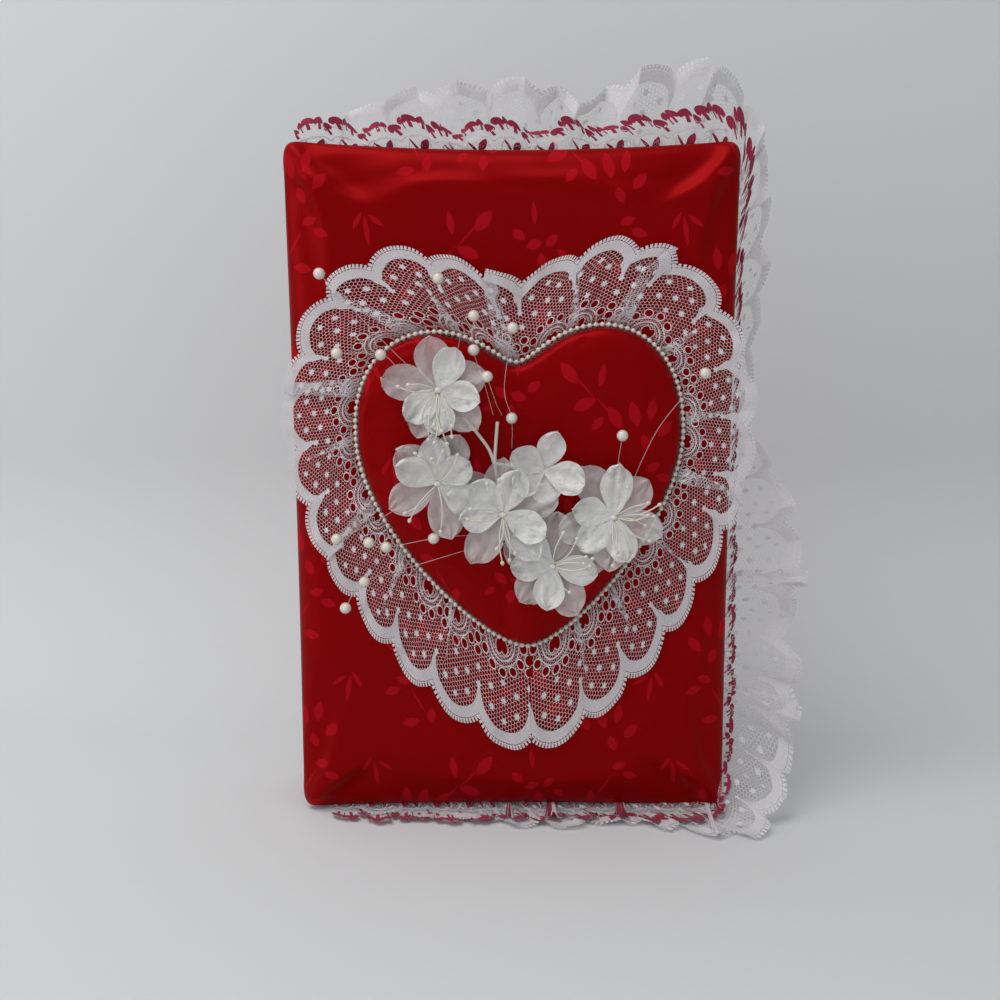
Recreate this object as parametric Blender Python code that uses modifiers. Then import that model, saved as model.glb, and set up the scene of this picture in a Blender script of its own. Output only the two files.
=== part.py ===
"""A padded, satin covered keepsake album that stands closed on its lower edge.

+Z is up and the front cover faces -Y, with the spine at -X.  The origin is the
bottom centre of the whole object's box, on the surface that it stands on.
Every size is in metres.
"""
from math import atan2, ceil, cos, hypot, pi, radians, sin

import bmesh
import bpy
from mathutils import Vector

# Overall sizes
COVER_WIDTH = 0.229
COVER_HEIGHT = 0.356
PAGE_SPACE = 0.036
GAP = 0.0003

# Layers of a cover, from its inner face outwards
LINING_CLOTH = 0.0005
LINING_CARD = 0.001
LINING_INSET = 0.006
SATIN = 0.0005
TURN_IN = 0.015
BOARD = 0.0025
BOARD_INSET = 0.003
COVER_CORNER = 0.006
EDGE_STEPS = 3
FRONT_BATTING = 0.012
FRONT_CROWN = 0.004
CROWN_RINGS = [(0.022, 0.62), (0.042, 0.93), (0.060, 1.0)]
FRONT_EDGE_RADIUS = 0.007
BACK_BATTING = 0.008
BACK_EDGE_RADIUS = 0.005

# Spine and pages
SPINE_RECESS = 0.0085
SPINE_RETURN = 0.003
SPINE_END = 0.001
BINDING_WIDTH = 0.014
BINDING_MARGIN = 0.001
LEAF_COUNT = 6
LEAF_THICKNESS = 0.0015
LEAF_BOTTOM = 0.012
LEAF_TOP_MARGIN = 0.014
LEAF_FORE_EDGE_MARGIN = 0.008

# Lace round the front cover
FRONT_LIFT = 0.0045
LACE_SEAM = 0.005
LACE_CLOTH = 0.0005
LACE_GAP = 0.0005
WHITE_LACE_WIDTH = 0.041
WHITE_LACE_START = 0.028
WHITE_LACE_LEAN = 0.12
RED_LACE_WIDTH = 0.024
RED_LACE_START = 0.005
RED_LACE_LEAN = -0.12
LACE_CORNER_STEPS = 8
LACE_SIDE_STEPS = 4

# Heart on the front cover
HEART_WIDTH = 0.168
HEART_HEIGHT = 0.167
HEART_X = 0.0043
HEART_Z = 0.179
HEART_TILT = radians(2.5)
HEART_BOARD = 0.0015
HEART_BATTING = 0.0075
HEART_EDGE_RADIUS = 0.005
HEART_CROWN = 0.0015
HEART_PLATEAU = 0.74
HEART_LACE_CLOTH = 0.0008
HEART_LACE_SIDE = 0.040
HEART_LACE_TOP = 0.047
HEART_LACE_BOTTOM = 0.057
HEART_LACE_TUCK = 0.006
TRIM_RADIUS = 0.0015

# Flowers: petals of a bloom, and its stamens
PETALS = 5
PETAL_CLOTH = 0.0004
PETAL_POINTS = 4
PETAL_NOTCH = 0.30
OUTER_PETAL_RADIUS = 0.026
INNER_PETAL_RADIUS = 0.019
PETAL_CUP = 0.005
STALK_RADIUS = 0.0014
CENTRE_PEARL = 0.002
STAMEN_COUNT = 8
STAMEN_REACH = 0.011
STAMEN_RADIUS = 0.0004
ANTHER_RADIUS = 0.0009
FOLDED_PETAL_RADIUS = 0.016

# Stems and pearls on clear line
STEM_RADIUS = 0.0009
LINE_RADIUS = 0.00035
LINE_STEP = 0.008
PEARL_RADIUS = 0.003

# Centre of each bloom from the heart's centre, and how far it stands off the satin
BLOOMS = [
    ((-0.0431, 0.0547), 0.0065, 0.1),
    ((-0.0435, 0.0063), 0.0030, 0.9),
    ((-0.0100, -0.0093), 0.0100, 0.4),
    ((0.0472, -0.0108), 0.0100, 1.1),
    ((0.0178, -0.0344), 0.0030, 0.0),
]
FOLDED_PETALS = ((0.0113, 0.0124), 0.0030, 1.9)
STEMS = {
    "flower_stem": [(-0.0130, 0.0344), (-0.0133, 0.0260), (-0.0140, 0.0176)],
    "flower_stem_branch": [(-0.0216, 0.0304), (-0.0190, 0.0265), (-0.0163, 0.0215)],
}
# Points of each line from the heart's centre, with their height off the satin,
# and which of those points carry a pearl
SPRAYS = [
    ([(-0.0563, 0.0640, 0.0), (-0.0743, 0.0830, 0.006), (-0.1020, 0.1132, 0.009)], [2]),
    ([(-0.0560, 0.0580, 0.0), (-0.0640, 0.0660, 0.004), (-0.0721, 0.0725, 0.006),
      (-0.0940, 0.0735, 0.009)], [2, 3]),
    ([(-0.0150, 0.0410, 0.0), (-0.0190, 0.0560, 0.004), (-0.0249, 0.0750, 0.007),
      (-0.0248, 0.0922, 0.009)], [2, 3]),
    ([(-0.0105, 0.0410, 0.0), (-0.0135, 0.0480, 0.007), (-0.0180, 0.0621, 0.014)], [2]),
    ([(-0.0053, 0.0240, 0.0), (-0.0055, 0.0400, 0.005), (-0.0093, 0.0560, 0.009),
      (-0.0051, 0.0863, 0.012)], [1, 3]),
    ([(-0.0360, 0.0680, 0.0), (-0.0320, 0.0840, 0.006), (-0.0425, 0.1108, 0.010)], [2]),
    ([(0.0477, 0.0050, 0.0), (0.0490, 0.0160, 0.007), (0.0508, 0.0319, 0.012)], [2]),
    ([(0.0557, 0.0020, 0.0), (0.0700, 0.0360, 0.008), (0.0921, 0.0636, 0.012)], [2]),
    ([(-0.0250, -0.0220, 0.0), (-0.0461, -0.0230, 0.005), (-0.0706, -0.0272, 0.007),
      (-0.0795, -0.0246, 0.008)], [1, 2, 3]),
    ([(-0.0563, -0.0010, 0.0), (-0.0743, -0.0130, 0.005), (-0.0960, -0.0225, 0.009)], [2]),
    ([(-0.0283, -0.0300, 0.0), (-0.0543, -0.0370, 0.005), (-0.0822, -0.0455, 0.008),
      (-0.0922, -0.0593, 0.009)], [2, 3]),
]

LEAF_HEIGHT = COVER_HEIGHT - LEAF_TOP_MARGIN - LEAF_BOTTOM

# Levels above a cover's inner face, and above the front cover's satin
LINING_TOP = LINING_CLOTH + GAP + LINING_CARD
TURN_IN_LEVEL = LINING_TOP + GAP
BOARD_LEVEL = TURN_IN_LEVEL + SATIN + GAP
BATTING_LEVEL = BOARD_LEVEL + BOARD + GAP
FRONT_FACE = BATTING_LEVEL + FRONT_BATTING + GAP + SATIN
HEART_LACE_LEVEL = FRONT_FACE + GAP + HEART_LACE_CLOTH / 2
HEART_TURN_IN = FRONT_FACE + GAP + HEART_LACE_CLOTH + GAP
HEART_BOARD_LEVEL = HEART_TURN_IN + SATIN + GAP
HEART_BATTING_LEVEL = HEART_BOARD_LEVEL + HEART_BOARD + GAP
HEART_FACE = HEART_BATTING_LEVEL + HEART_BATTING + GAP + SATIN


def clear_scene():
    for old in list(bpy.data.objects):
        bpy.data.objects.remove(old)


def make_material(name, colour, roughness, metallic=0.0):
    material = bpy.data.materials.new(name)
    material.use_nodes = True
    shader = material.node_tree.nodes["Principled BSDF"]
    shader.inputs["Base Color"].default_value = (*colour, 1.0)
    shader.inputs["Roughness"].default_value = roughness
    shader.inputs["Metallic"].default_value = metallic
    return material


def make_empty(name, place, parent=None):
    empty = bpy.data.objects.new(name, None)
    empty.location = place
    empty.parent = parent
    PARTS.objects.link(empty)
    return empty


def add_object(name, data, parent, material):
    made = bpy.data.objects.new(name, data)
    made.parent = parent
    data.materials.append(material)
    PARTS.objects.link(made)
    return made


def mesh_from(bm, name):
    mesh = bpy.data.meshes.new(name)
    bm.to_mesh(mesh)
    bm.free()
    mesh.shade_smooth()
    mesh.set_sharp_from_angle(angle=radians(40))
    return mesh


def add_thickness(made, thickness, offset):
    solidify = made.modifiers.new("cloth", "SOLIDIFY")
    solidify.thickness = thickness
    solidify.offset = offset
    solidify.use_even_offset = True
    return made


def box(name, low, high, parent, material):
    """A plain block between two opposite corners."""
    bm = bmesh.new()
    bmesh.ops.create_cube(bm, size=1.0)
    size = Vector(high) - Vector(low)
    bmesh.ops.scale(bm, vec=size, verts=bm.verts)
    bmesh.ops.translate(bm, vec=(Vector(high) + Vector(low)) / 2, verts=bm.verts)
    mesh = bpy.data.meshes.new(name)
    bm.to_mesh(mesh)
    bm.free()
    return add_object(name, mesh, parent, material)


def join_rings(rings, outward, cap_first=False):
    """Loft from ring to ring and close the last one; its faces look along outward."""
    bm = bmesh.new()
    loops = [[bm.verts.new(point) for point in ring] for ring in rings]
    for lower, upper in zip(loops, loops[1:]):
        for i, corner in enumerate(lower):
            bm.faces.new((lower[i - 1], corner, upper[i], upper[i - 1]))
    last = bm.faces.new(loops[-1])
    if cap_first:
        bm.faces.new(list(reversed(loops[0])))
    bmesh.ops.recalc_face_normals(bm, faces=bm.faces)
    if last.normal.dot(Vector(outward)) < 0:
        bmesh.ops.reverse_faces(bm, faces=bm.faces)
    caps = [face for face in bm.faces if len(face.verts) > 4]
    bmesh.ops.poke(bm, faces=caps)
    return bm


def join_rows(rows, closed=False):
    """A sheet through rows of points; a closed one joins its last row to its first."""
    bm = bmesh.new()
    lines = [[bm.verts.new(point) for point in row] for row in rows]
    pairs = list(zip(lines, lines[1:]))
    if closed:
        pairs.append((lines[-1], lines[0]))
    for near, far in pairs:
        for j in range(len(near) - 1):
            bm.faces.new((near[j], near[j + 1], far[j + 1], far[j]))
    bmesh.ops.recalc_face_normals(bm, faces=bm.faces)
    return bm


def bezier(start, start_pull, end_pull, end, steps):
    """Points of one cubic curve, without its end point."""
    points = []
    for i in range(steps):
        t = i / steps
        u = 1 - t
        weights = (u ** 3, 3 * u * u * t, 3 * u * t * t, t ** 3)
        knots = (start, start_pull, end_pull, end)
        points.append(tuple(sum(w * k[axis] for w, k in zip(weights, knots)) for axis in (0, 1)))
    return points


def smooth_path(points, steps=8):
    """Catmull-Rom curve through points of any dimension."""
    ends = [Vector(points[0]) * 2 - Vector(points[1])]
    ends += [Vector(point) for point in points]
    ends.append(Vector(points[-1]) * 2 - Vector(points[-2]))
    path = []
    for a, b, c, d in zip(ends, ends[1:], ends[2:], ends[3:]):
        for i in range(steps):
            t = i / steps
            path.append(0.5 * (2 * b + (c - a) * t + (2 * a - 5 * b + 4 * c - d) * t ** 2
                               + (3 * b - a - 3 * c + d) * t ** 3))
    path.append(ends[-2])
    return path


def tube(name, stations, parent, material, cyclic=False):
    """A round bar through (point, radius) stations."""
    curve = bpy.data.curves.new(name, "CURVE")
    curve.dimensions = "3D"
    curve.bevel_depth = 1.0
    curve.bevel_resolution = 1
    curve.use_fill_caps = not cyclic
    spline = curve.splines.new("POLY")
    spline.points.add(len(stations) - 1)
    spline.use_cyclic_u = cyclic
    for spot, (point, radius) in zip(spline.points, stations):
        spot.co = (*point, 1.0)
        spot.radius = radius
    return add_object(name, curve, parent, material)


# ---------------------------------------------------------------- covers

def rounded_rectangle(half_width, half_height, radius, corner_steps=3, side_steps=3):
    """Outline round a rectangle, anticlockwise from its right side, in X and Z."""
    radius = max(radius, 0.001)
    corners = [(1, 1), (-1, 1), (-1, -1), (1, -1)]
    outline = []
    for number, (sx, sz) in enumerate(corners):
        centre = (sx * (half_width - radius), sz * (half_height - radius))
        for i in range(corner_steps + 1):
            turn = pi / 2 * (number + i / corner_steps)
            outline.append((centre[0] + radius * cos(turn), centre[1] + radius * sin(turn)))
        end = outline[-1]
        nx, nz = corners[(number + 1) % 4]
        turn = pi / 2 * (number + 1)
        start = (nx * (half_width - radius) + radius * cos(turn),
                 nz * (half_height - radius) + radius * sin(turn))
        for i in range(1, side_steps):
            t = i / side_steps
            outline.append((end[0] + (start[0] - end[0]) * t, end[1] + (start[1] - end[1]) * t))
    return outline


def cover_ring(side, inset, level, bottom):
    """One ring round a cover, inset from its edge and above its inner face."""
    outline = rounded_rectangle(COVER_WIDTH / 2 - inset, COVER_HEIGHT / 2 - inset,
                                COVER_CORNER - inset)
    middle_x = COVER_WIDTH / 2
    middle_z = bottom + COVER_HEIGHT / 2
    return [(middle_x + x, side * level, middle_z + z) for x, z in outline]


def padded_rings(side, inset, base, top, radius, crown, bottom):
    """Rings up a padded slab's side, round its edge and over its crown."""
    shoulder = top - crown
    rings = [cover_ring(side, inset, base, bottom)]
    for i in range(EDGE_STEPS + 1):
        turn = pi / 2 * i / EDGE_STEPS
        rings.append(cover_ring(side, inset + radius * (1 - cos(turn)),
                                shoulder - radius * (1 - sin(turn)), bottom))
    if crown:
        for further, share in CROWN_RINGS:
            rings.append(cover_ring(side, inset + further, shoulder + crown * share, bottom))
    return rings


def build_cover(prefix, side, parent, bottom, batting, radius, crown):
    """Board, batting and satin of a cover, with the lined card inside it."""
    outward = (0, side, 0)
    cloth_inset = SATIN + GAP
    face = BATTING_LEVEL + batting + GAP + SATIN

    rings = [cover_ring(side, TURN_IN, TURN_IN_LEVEL, bottom)]
    rings += padded_rings(side, 0.0, TURN_IN_LEVEL, face, radius, crown, bottom)
    mesh = mesh_from(join_rings(rings, outward), prefix + "_satin")
    satin = add_object(prefix + "_satin", mesh, parent, RED_SATIN)
    add_thickness(satin, SATIN, -1)

    rings = padded_rings(side, cloth_inset, BATTING_LEVEL, BATTING_LEVEL + batting,
                         radius - cloth_inset, crown, bottom)
    mesh = mesh_from(join_rings(rings, outward, cap_first=True), prefix + "_batting")
    add_object(prefix + "_batting", mesh, parent, WADDING)

    slabs = [
        ("_board", BOARD_INSET, BOARD_LEVEL, BOARD, GREY_BOARD),
        ("_lining_card", LINING_INSET + cloth_inset, LINING_CLOTH + GAP, LINING_CARD, WHITE_CARD),
    ]
    for suffix, inset, level, thickness, material in slabs:
        low = (inset, side * level, bottom + inset)
        high = (COVER_WIDTH - inset, side * (level + thickness), bottom + COVER_HEIGHT - inset)
        corners = [(min(a, b), max(a, b)) for a, b in zip(low, high)]
        box(prefix + suffix, [c[0] for c in corners], [c[1] for c in corners], parent, material)

    rings = [cover_ring(side, LINING_INSET, level, bottom) for level in (LINING_TOP, 0.0)]
    mesh = mesh_from(join_rings(rings, (0, -side, 0)), prefix + "_lining_satin")
    lining = add_object(prefix + "_lining_satin", mesh, parent, RED_SATIN)
    add_thickness(lining, LINING_CLOTH, -1)


# ---------------------------------------------------------------- spine and leaves

def build_spine(parent):
    """The covered board between the two hinges, and the binding that holds the leaves."""
    front = GAP
    back = PAGE_SPACE - GAP
    left = SPINE_RECESS
    board_left = left + SATIN + GAP
    board_right = board_left + BOARD
    low = SPINE_END
    high = COVER_HEIGHT - SPINE_END

    profile = [(left + SPINE_RETURN, front), (left, front), (left, back),
               (left + SPINE_RETURN, back)]
    rows = [[(x, y, z) for x, y in profile] for z in (low, high)]
    bm = join_rows(rows)
    for face in bm.faces:
        wrong = face.normal.x > 0.5 or face.normal.y * (face.calc_center_median().y - back / 2) < 0
        if wrong:
            bmesh.ops.reverse_faces(bm, faces=bm.faces)
            break
    satin = add_object("spine_satin", mesh_from(bm, "spine_satin"), parent, RED_SATIN)
    add_thickness(satin, SATIN, -1)

    edge = SATIN + GAP
    box("spine_board", (board_left, front + edge, low), (board_right, back - edge, high),
        parent, GREY_BOARD)
    binding_left = board_right + GAP
    margin = edge + BINDING_MARGIN
    box("page_binding", (binding_left, front + margin, LEAF_BOTTOM),
        (binding_left + BINDING_WIDTH, back - margin, LEAF_BOTTOM + LEAF_HEIGHT),
        parent, WHITE_CARD)
    return binding_left + BINDING_WIDTH


def build_leaves(parent, binding_edge):
    """Stiff leaves, each turning on the front corner of its bound edge."""
    pitch = (PAGE_SPACE - 2 * GAP) / LEAF_COUNT
    left = binding_edge + GAP
    width = COVER_WIDTH - LEAF_FORE_EDGE_MARGIN - left
    for number in range(LEAF_COUNT):
        front = GAP + pitch * (number + 0.5) - LEAF_THICKNESS / 2
        pivot = make_empty(f"leaf_pivot_{number + 1}", (left, front, LEAF_BOTTOM), parent)
        box(f"album_leaf_{number + 1}", (0, 0, 0), (width, LEAF_THICKNESS, LEAF_HEIGHT),
            pivot, WHITE_CARD)


# ---------------------------------------------------------------- edge lace

def lace_stations(start):
    """Places round three sides of the front cover and the way the lace runs out there."""
    r = COVER_CORNER
    right = COVER_WIDTH - r
    top = FRONT_LIFT + COVER_HEIGHT - r
    low = FRONT_LIFT + r
    stations = []
    for i in range(LACE_SIDE_STEPS):
        stations.append((start + (right - start) * i / LACE_SIDE_STEPS, top, -pi / 2))
    for i in range(LACE_CORNER_STEPS):
        stations.append((right, top, -pi / 2 * (1 - i / LACE_CORNER_STEPS)))
    for i in range(LACE_SIDE_STEPS):
        stations.append((right, top + (low - top) * i / LACE_SIDE_STEPS, 0.0))
    for i in range(LACE_CORNER_STEPS):
        stations.append((right, low, pi / 2 * i / LACE_CORNER_STEPS))
    for i in range(LACE_SIDE_STEPS + 1):
        stations.append((right + (start - right) * i / LACE_SIDE_STEPS, low, pi / 2))
    return stations


def build_lace(name, lengths, start, layer, lean, parent, material):
    """A ribbon that runs out from its seam until it meets the table, then turns forward."""
    lift = layer * (LACE_CLOTH + LACE_GAP)
    seam_level = GAP + LACE_CLOTH / 2 + lift
    drop = FRONT_LIFT - LACE_CLOTH / 2 - lift
    rows = []
    for x, z, turn in lace_stations(start):
        down = max(sin(turn), 0.0)
        reach = drop / down if down > 1e-6 else lengths[-1]
        row = []
        for length in lengths:
            out = min(length, reach)
            depth = seam_level + (length - out) - lean * max(out, 0.0) * (1 - down)
            row.append((x + (COVER_CORNER + out) * cos(turn), -depth,
                        z - (COVER_CORNER + out) * sin(turn)))
        rows.append(row)
    ribbon = add_object(name, mesh_from(join_rows(rows), name), parent, material)
    add_thickness(ribbon, LACE_CLOTH, 0)


def build_edge_laces(parent):
    """A narrow red and white lace in front of a wide white one, in one seam."""
    narrow = [-LACE_SEAM, 0.0, FRONT_LIFT]
    narrow += [RED_LACE_WIDTH * share for share in (0.33, 0.66, 1.0)]
    middle = (RED_LACE_WIDTH + WHITE_LACE_WIDTH) / 2
    wide = narrow + [middle, WHITE_LACE_WIDTH]
    build_lace("white_lace_trim", wide, WHITE_LACE_START, 0, WHITE_LACE_LEAN, parent,
               WHITE_LACE)
    build_lace("red_lace_trim", narrow, RED_LACE_START, 1, RED_LACE_LEAN, parent, RED_LACE)


# ---------------------------------------------------------------- heart

def heart_outline(steps=6):
    """Right half by three curves from the notch to the tip, then its mirror image."""
    w = HEART_WIDTH / 2
    h = HEART_HEIGHT / 2
    notch = (0.0, 0.79 * h)
    lobe = (0.52 * w, h)
    side = (w, 0.42 * h)
    tip = (0.0, -h)
    half = bezier(notch, (0.11 * w, 0.79 * h), (0.24 * w, h), lobe, steps)
    half += bezier(lobe, (0.80 * w, h), (w, 0.76 * h), side, steps)
    half += bezier(side, (1.05 * w, -0.17 * h), (0.26 * w, -h), tip, 2 * steps)
    half.append(tip)
    mirrored = [(-x, z) for x, z in reversed(half[1:-1])]
    return half + mirrored


def lace_outline(steps=6):
    """The ruffle's free edge, with the same number of points as the heart's outline."""
    w = HEART_WIDTH / 2 + HEART_LACE_SIDE
    top = HEART_HEIGHT / 2 + HEART_LACE_TOP
    low = HEART_HEIGHT / 2 + HEART_LACE_BOTTOM
    dip = (0.0, 0.88 * top)
    lobe = (0.46 * w, top)
    side = (w, 0.23 * top)
    tip = (0.0, -low)
    half = bezier(dip, (0.15 * w, 0.88 * top), (0.28 * w, top), lobe, steps)
    half += bezier(lobe, (0.76 * w, top), (w, 0.68 * top), side, steps)
    half += bezier(side, (w, -0.16 * low), (0.48 * w, -0.92 * low), tip, 2 * steps)
    half.append(tip)
    mirrored = [(-x, z) for x, z in reversed(half[1:-1])]
    return half + mirrored


def inset_outline(outline, distance):
    """Move each point of an outline inwards, square to the line through its neighbours."""
    moved = []
    count = len(outline)
    for i, (x, z) in enumerate(outline):
        before = outline[i - 1]
        after = outline[(i + 1) % count]
        along = Vector((after[0] - before[0], after[1] - before[1])).normalized()
        moved.append((x + along.y * distance, z - along.x * distance))
    return moved


def scaled(outline, factor):
    return [(x * factor, z * factor) for x, z in outline]


def on_heart(x, z, level):
    """A point given from the heart's centre, turned with the heart."""
    return Vector((x * cos(HEART_TILT) - z * sin(HEART_TILT), -level,
                   x * sin(HEART_TILT) + z * cos(HEART_TILT)))


def heart_ring(outline, level):
    return [on_heart(x, z, level) for x, z in outline]


def heart_share(x, z):
    """How far a point lies from the heart's centre towards its edge, 0 to 1."""
    turned = Vector((x * cos(HEART_TILT) + z * sin(HEART_TILT),
                     z * cos(HEART_TILT) - x * sin(HEART_TILT)))
    edge = min(heart_outline(), key=lambda p: abs(pi - abs(pi - abs(
        atan2(p[1], p[0]) - atan2(turned.y, turned.x)))))
    return turned.length / hypot(*edge)


def heart_level(x, z):
    """Height of the heart's satin over a point near it."""
    share = (heart_share(x, z) - HEART_PLATEAU) / (1 - HEART_PLATEAU)
    share = min(max(share, 0.0), 1.0)
    return HEART_FACE - HEART_CROWN * share ** 1.5


def heart_pad_rings(inset, base, top, radius):
    outline = heart_outline()
    shoulder = top - HEART_CROWN
    rings = [heart_ring(inset_outline(outline, inset), base)]
    for i in range(EDGE_STEPS + 1):
        turn = pi / 2 * i / EDGE_STEPS
        ring = inset_outline(outline, inset + radius * (1 - cos(turn)))
        rings.append(heart_ring(ring, shoulder - radius * (1 - sin(turn))))
    brim = inset_outline(outline, inset + radius)
    rings.append(heart_ring(scaled(brim, 0.90), top - 0.25 * HEART_CROWN))
    rings.append(heart_ring(scaled(outline, HEART_PLATEAU), top))
    rings.append(heart_ring(scaled(outline, 0.35), top))
    return rings


def build_heart(parent):
    """Lace ruffle, card, batting, satin and a string of pearls, glued to the cover."""
    front = (0, -1, 0)
    outline = heart_outline()
    tucked = inset_outline(outline, HEART_LACE_TUCK)
    middle = [((a[0] + b[0]) / 2, (a[1] + b[1]) / 2) for a, b in zip(outline, lace_outline())]
    rows = [heart_ring(ring, HEART_LACE_LEVEL) for ring in (tucked, outline, middle, lace_outline())]
    strips = [list(strip) for strip in zip(*rows)]
    lace = add_object("heart_lace", mesh_from(join_rows(strips, closed=True), "heart_lace"),
                      parent, WHITE_LACE)
    add_thickness(lace, HEART_LACE_CLOTH, 0)

    rings = [heart_ring(inset_outline(outline, HEART_EDGE_RADIUS), HEART_TURN_IN)]
    rings += heart_pad_rings(0.0, HEART_TURN_IN, HEART_FACE, HEART_EDGE_RADIUS)
    satin = add_object("heart_satin", mesh_from(join_rings(rings, front), "heart_satin"),
                       parent, RED_SATIN)
    add_thickness(satin, SATIN, -1)

    inset = SATIN + GAP
    rings = heart_pad_rings(inset, HEART_BATTING_LEVEL, HEART_FACE - SATIN - GAP,
                            HEART_EDGE_RADIUS - inset)
    add_object("heart_batting", mesh_from(join_rings(rings, front, True), "heart_batting"),
               parent, WADDING)

    card = inset_outline(outline, 2 * inset)
    rings = [heart_ring(card, level)
             for level in (HEART_BOARD_LEVEL, HEART_BOARD_LEVEL + HEART_BOARD)]
    add_object("heart_board", mesh_from(join_rings(rings, front, True), "heart_board"),
               parent, GREY_BOARD)

    string = inset_outline(outline, -(TRIM_RADIUS + GAP))
    level = HEART_TURN_IN + TRIM_RADIUS
    stations = [(on_heart(x, z, level), TRIM_RADIUS) for x, z in string]
    tube("pearl_trim", stations, parent, PEARL, cyclic=True)


# ---------------------------------------------------------------- flowers

def petal_ring(centre, reach, share, levels, spin, petals):
    """A ring at one share of the petals' length; the outer ones show each petal."""
    base, tip = levels
    points = PETAL_POINTS * petals
    ring = []
    for i in range(points):
        turn = 2 * pi * i / points
        lobe = abs(cos(petals * turn / 2)) ** 0.7
        radius = reach * share * (1 - PETAL_NOTCH * share * share * (1 - lobe))
        level = base + (tip - base) * (radius / reach) ** 2
        ring.append((centre.x + radius * cos(turn + spin), -level,
                     centre.z + radius * sin(turn + spin)))
    return ring


def build_petals(name, centre, reach, levels, spin, petals, parent):
    """A cupped layer of petals that opens from a short tube; levels are seat, base, tip."""
    seat, base, tip = levels
    throat = STALK_RADIUS / reach
    rows = [petal_ring(centre, reach, throat, (base, tip), spin, petals)]
    if base > seat:
        rows.insert(0, petal_ring(centre, reach, throat, (seat, seat), spin, petals))
    for share in (0.45, 0.8, 1.0):
        rows.append(petal_ring(centre, reach, share, (base, tip), spin, petals))
    strips = [list(strip) for strip in zip(*rows)]
    made = add_object(name, mesh_from(join_rows(strips, closed=True), name), parent, ORGANZA)
    return add_thickness(made, PETAL_CLOTH, 0)


def build_stamens(name, centre, level, spin, parent):
    """A centre pearl with fine stamens drawn out of it, each ending in a bead."""
    bm = bmesh.new()
    bmesh.ops.create_icosphere(bm, subdivisions=2, radius=CENTRE_PEARL)
    chosen = []
    for i in range(STAMEN_COUNT):
        turn = spin + 2 * pi * i / STAMEN_COUNT
        rise = radians(32 + 14 * (i % 2))
        way = Vector((cos(turn) * cos(rise), -sin(rise), sin(turn) * cos(rise)))
        free = [face for face in bm.faces if face not in [c[0] for c in chosen]]
        chosen.append((max(free, key=lambda f: f.normal.dot(way)), way))
    for face, way in chosen:
        # radius of the section and its distance from the pearl's centre
        steps = [(STAMEN_RADIUS, CENTRE_PEARL * 1.3), (STAMEN_RADIUS, STAMEN_REACH * 0.86),
                 (ANTHER_RADIUS, STAMEN_REACH)]
        for radius, distance in steps:
            face = bmesh.ops.extrude_discrete_faces(bm, faces=[face])["faces"][0]
            middle = face.calc_center_median()
            size = (face.verts[0].co - middle).length
            turned = face.normal.rotation_difference(way)
            for vert in face.verts:
                arm = turned @ ((vert.co - middle) * (radius / size))
                vert.co = way * distance + arm
            face.normal_update()
    bmesh.ops.translate(bm, vec=(centre.x, -level, centre.z), verts=bm.verts)
    bmesh.ops.recalc_face_normals(bm, faces=bm.faces)
    add_object(name, mesh_from(bm, name), parent, PEARL)


def build_bloom(number, offset, stand_off, spin, parent):
    centre = Vector((offset[0], 0, offset[1]))
    satin = heart_level(*offset)
    seat = satin + GAP
    base = satin + stand_off
    prefix = f"flower_{number}"
    build_petals(prefix + "_outer_petals", centre, OUTER_PETAL_RADIUS,
                 (seat, base, base + PETAL_CUP), spin, PETALS, parent)
    inner = base + PETAL_CLOTH + GAP
    build_petals(prefix + "_inner_petals", centre, INNER_PETAL_RADIUS,
                 (inner, inner, inner + PETAL_CUP), spin + pi / PETALS, PETALS, parent)
    build_stamens(prefix + "_stamens", centre, inner + PETAL_CLOTH + GAP + CENTRE_PEARL,
                  spin, parent)


def build_flowers(parent):
    for number, (offset, stand_off, spin) in enumerate(BLOOMS, start=1):
        build_bloom(number, offset, stand_off, spin, parent)
    offset, stand_off, spin = FOLDED_PETALS
    satin = heart_level(*offset)
    build_petals("folded_petals", Vector((offset[0], 0, offset[1])), FOLDED_PETAL_RADIUS,
                 (satin + GAP, satin + stand_off, satin + stand_off + PETAL_CUP), spin, 3, parent)
    for name, route in STEMS.items():
        stations = []
        for x, z in smooth_path(route, steps=3):
            level = heart_level(x, z) + GAP + STEM_RADIUS
            stations.append(((x, -level, z), STEM_RADIUS))
        tube(name, stations, parent, WRAPPED_WIRE)


# ---------------------------------------------------------------- pearls on clear line

def build_spray(name, route, beads, parent):
    """Clear line from the heart's satin, swelling to a pearl at the chosen points."""
    points = []
    for x, z, height in route:
        level = heart_level(*route[0][:2]) + GAP + LINE_RADIUS + height
        points.append((x, -level, z))
    steps = 12
    path = smooth_path(points, steps)
    ends = (path[-1] - path[-2]).normalized() * PEARL_RADIUS
    path.append(path[-1] + ends)
    lengths = [0.0]
    for a, b in zip(path, path[1:]):
        lengths.append(lengths[-1] + (b - a).length)
    centres = [lengths[number * steps] for number in beads]
    places = {0.0: LINE_RADIUS}
    for i in range(1, ceil(lengths[-1] / LINE_STEP)):
        if all(abs(i * LINE_STEP - centre) > PEARL_RADIUS * 1.4 for centre in centres):
            places[i * LINE_STEP] = LINE_RADIUS
    for centre in centres:
        for turn in (-90, -50, 0, 50, 90):
            radius = max(PEARL_RADIUS * cos(radians(turn)), LINE_RADIUS)
            places[centre + PEARL_RADIUS * sin(radians(turn))] = radius
    stations = []
    for place in sorted(places):
        piece = next((i for i in range(1, len(path)) if lengths[i] >= place), len(path) - 1)
        share = (place - lengths[piece - 1]) / (lengths[piece] - lengths[piece - 1])
        stations.append((path[piece - 1].lerp(path[piece], min(share, 1.0)), places[place]))
    tube(name, stations, parent, PEARL)


# ---------------------------------------------------------------- assembly

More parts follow.
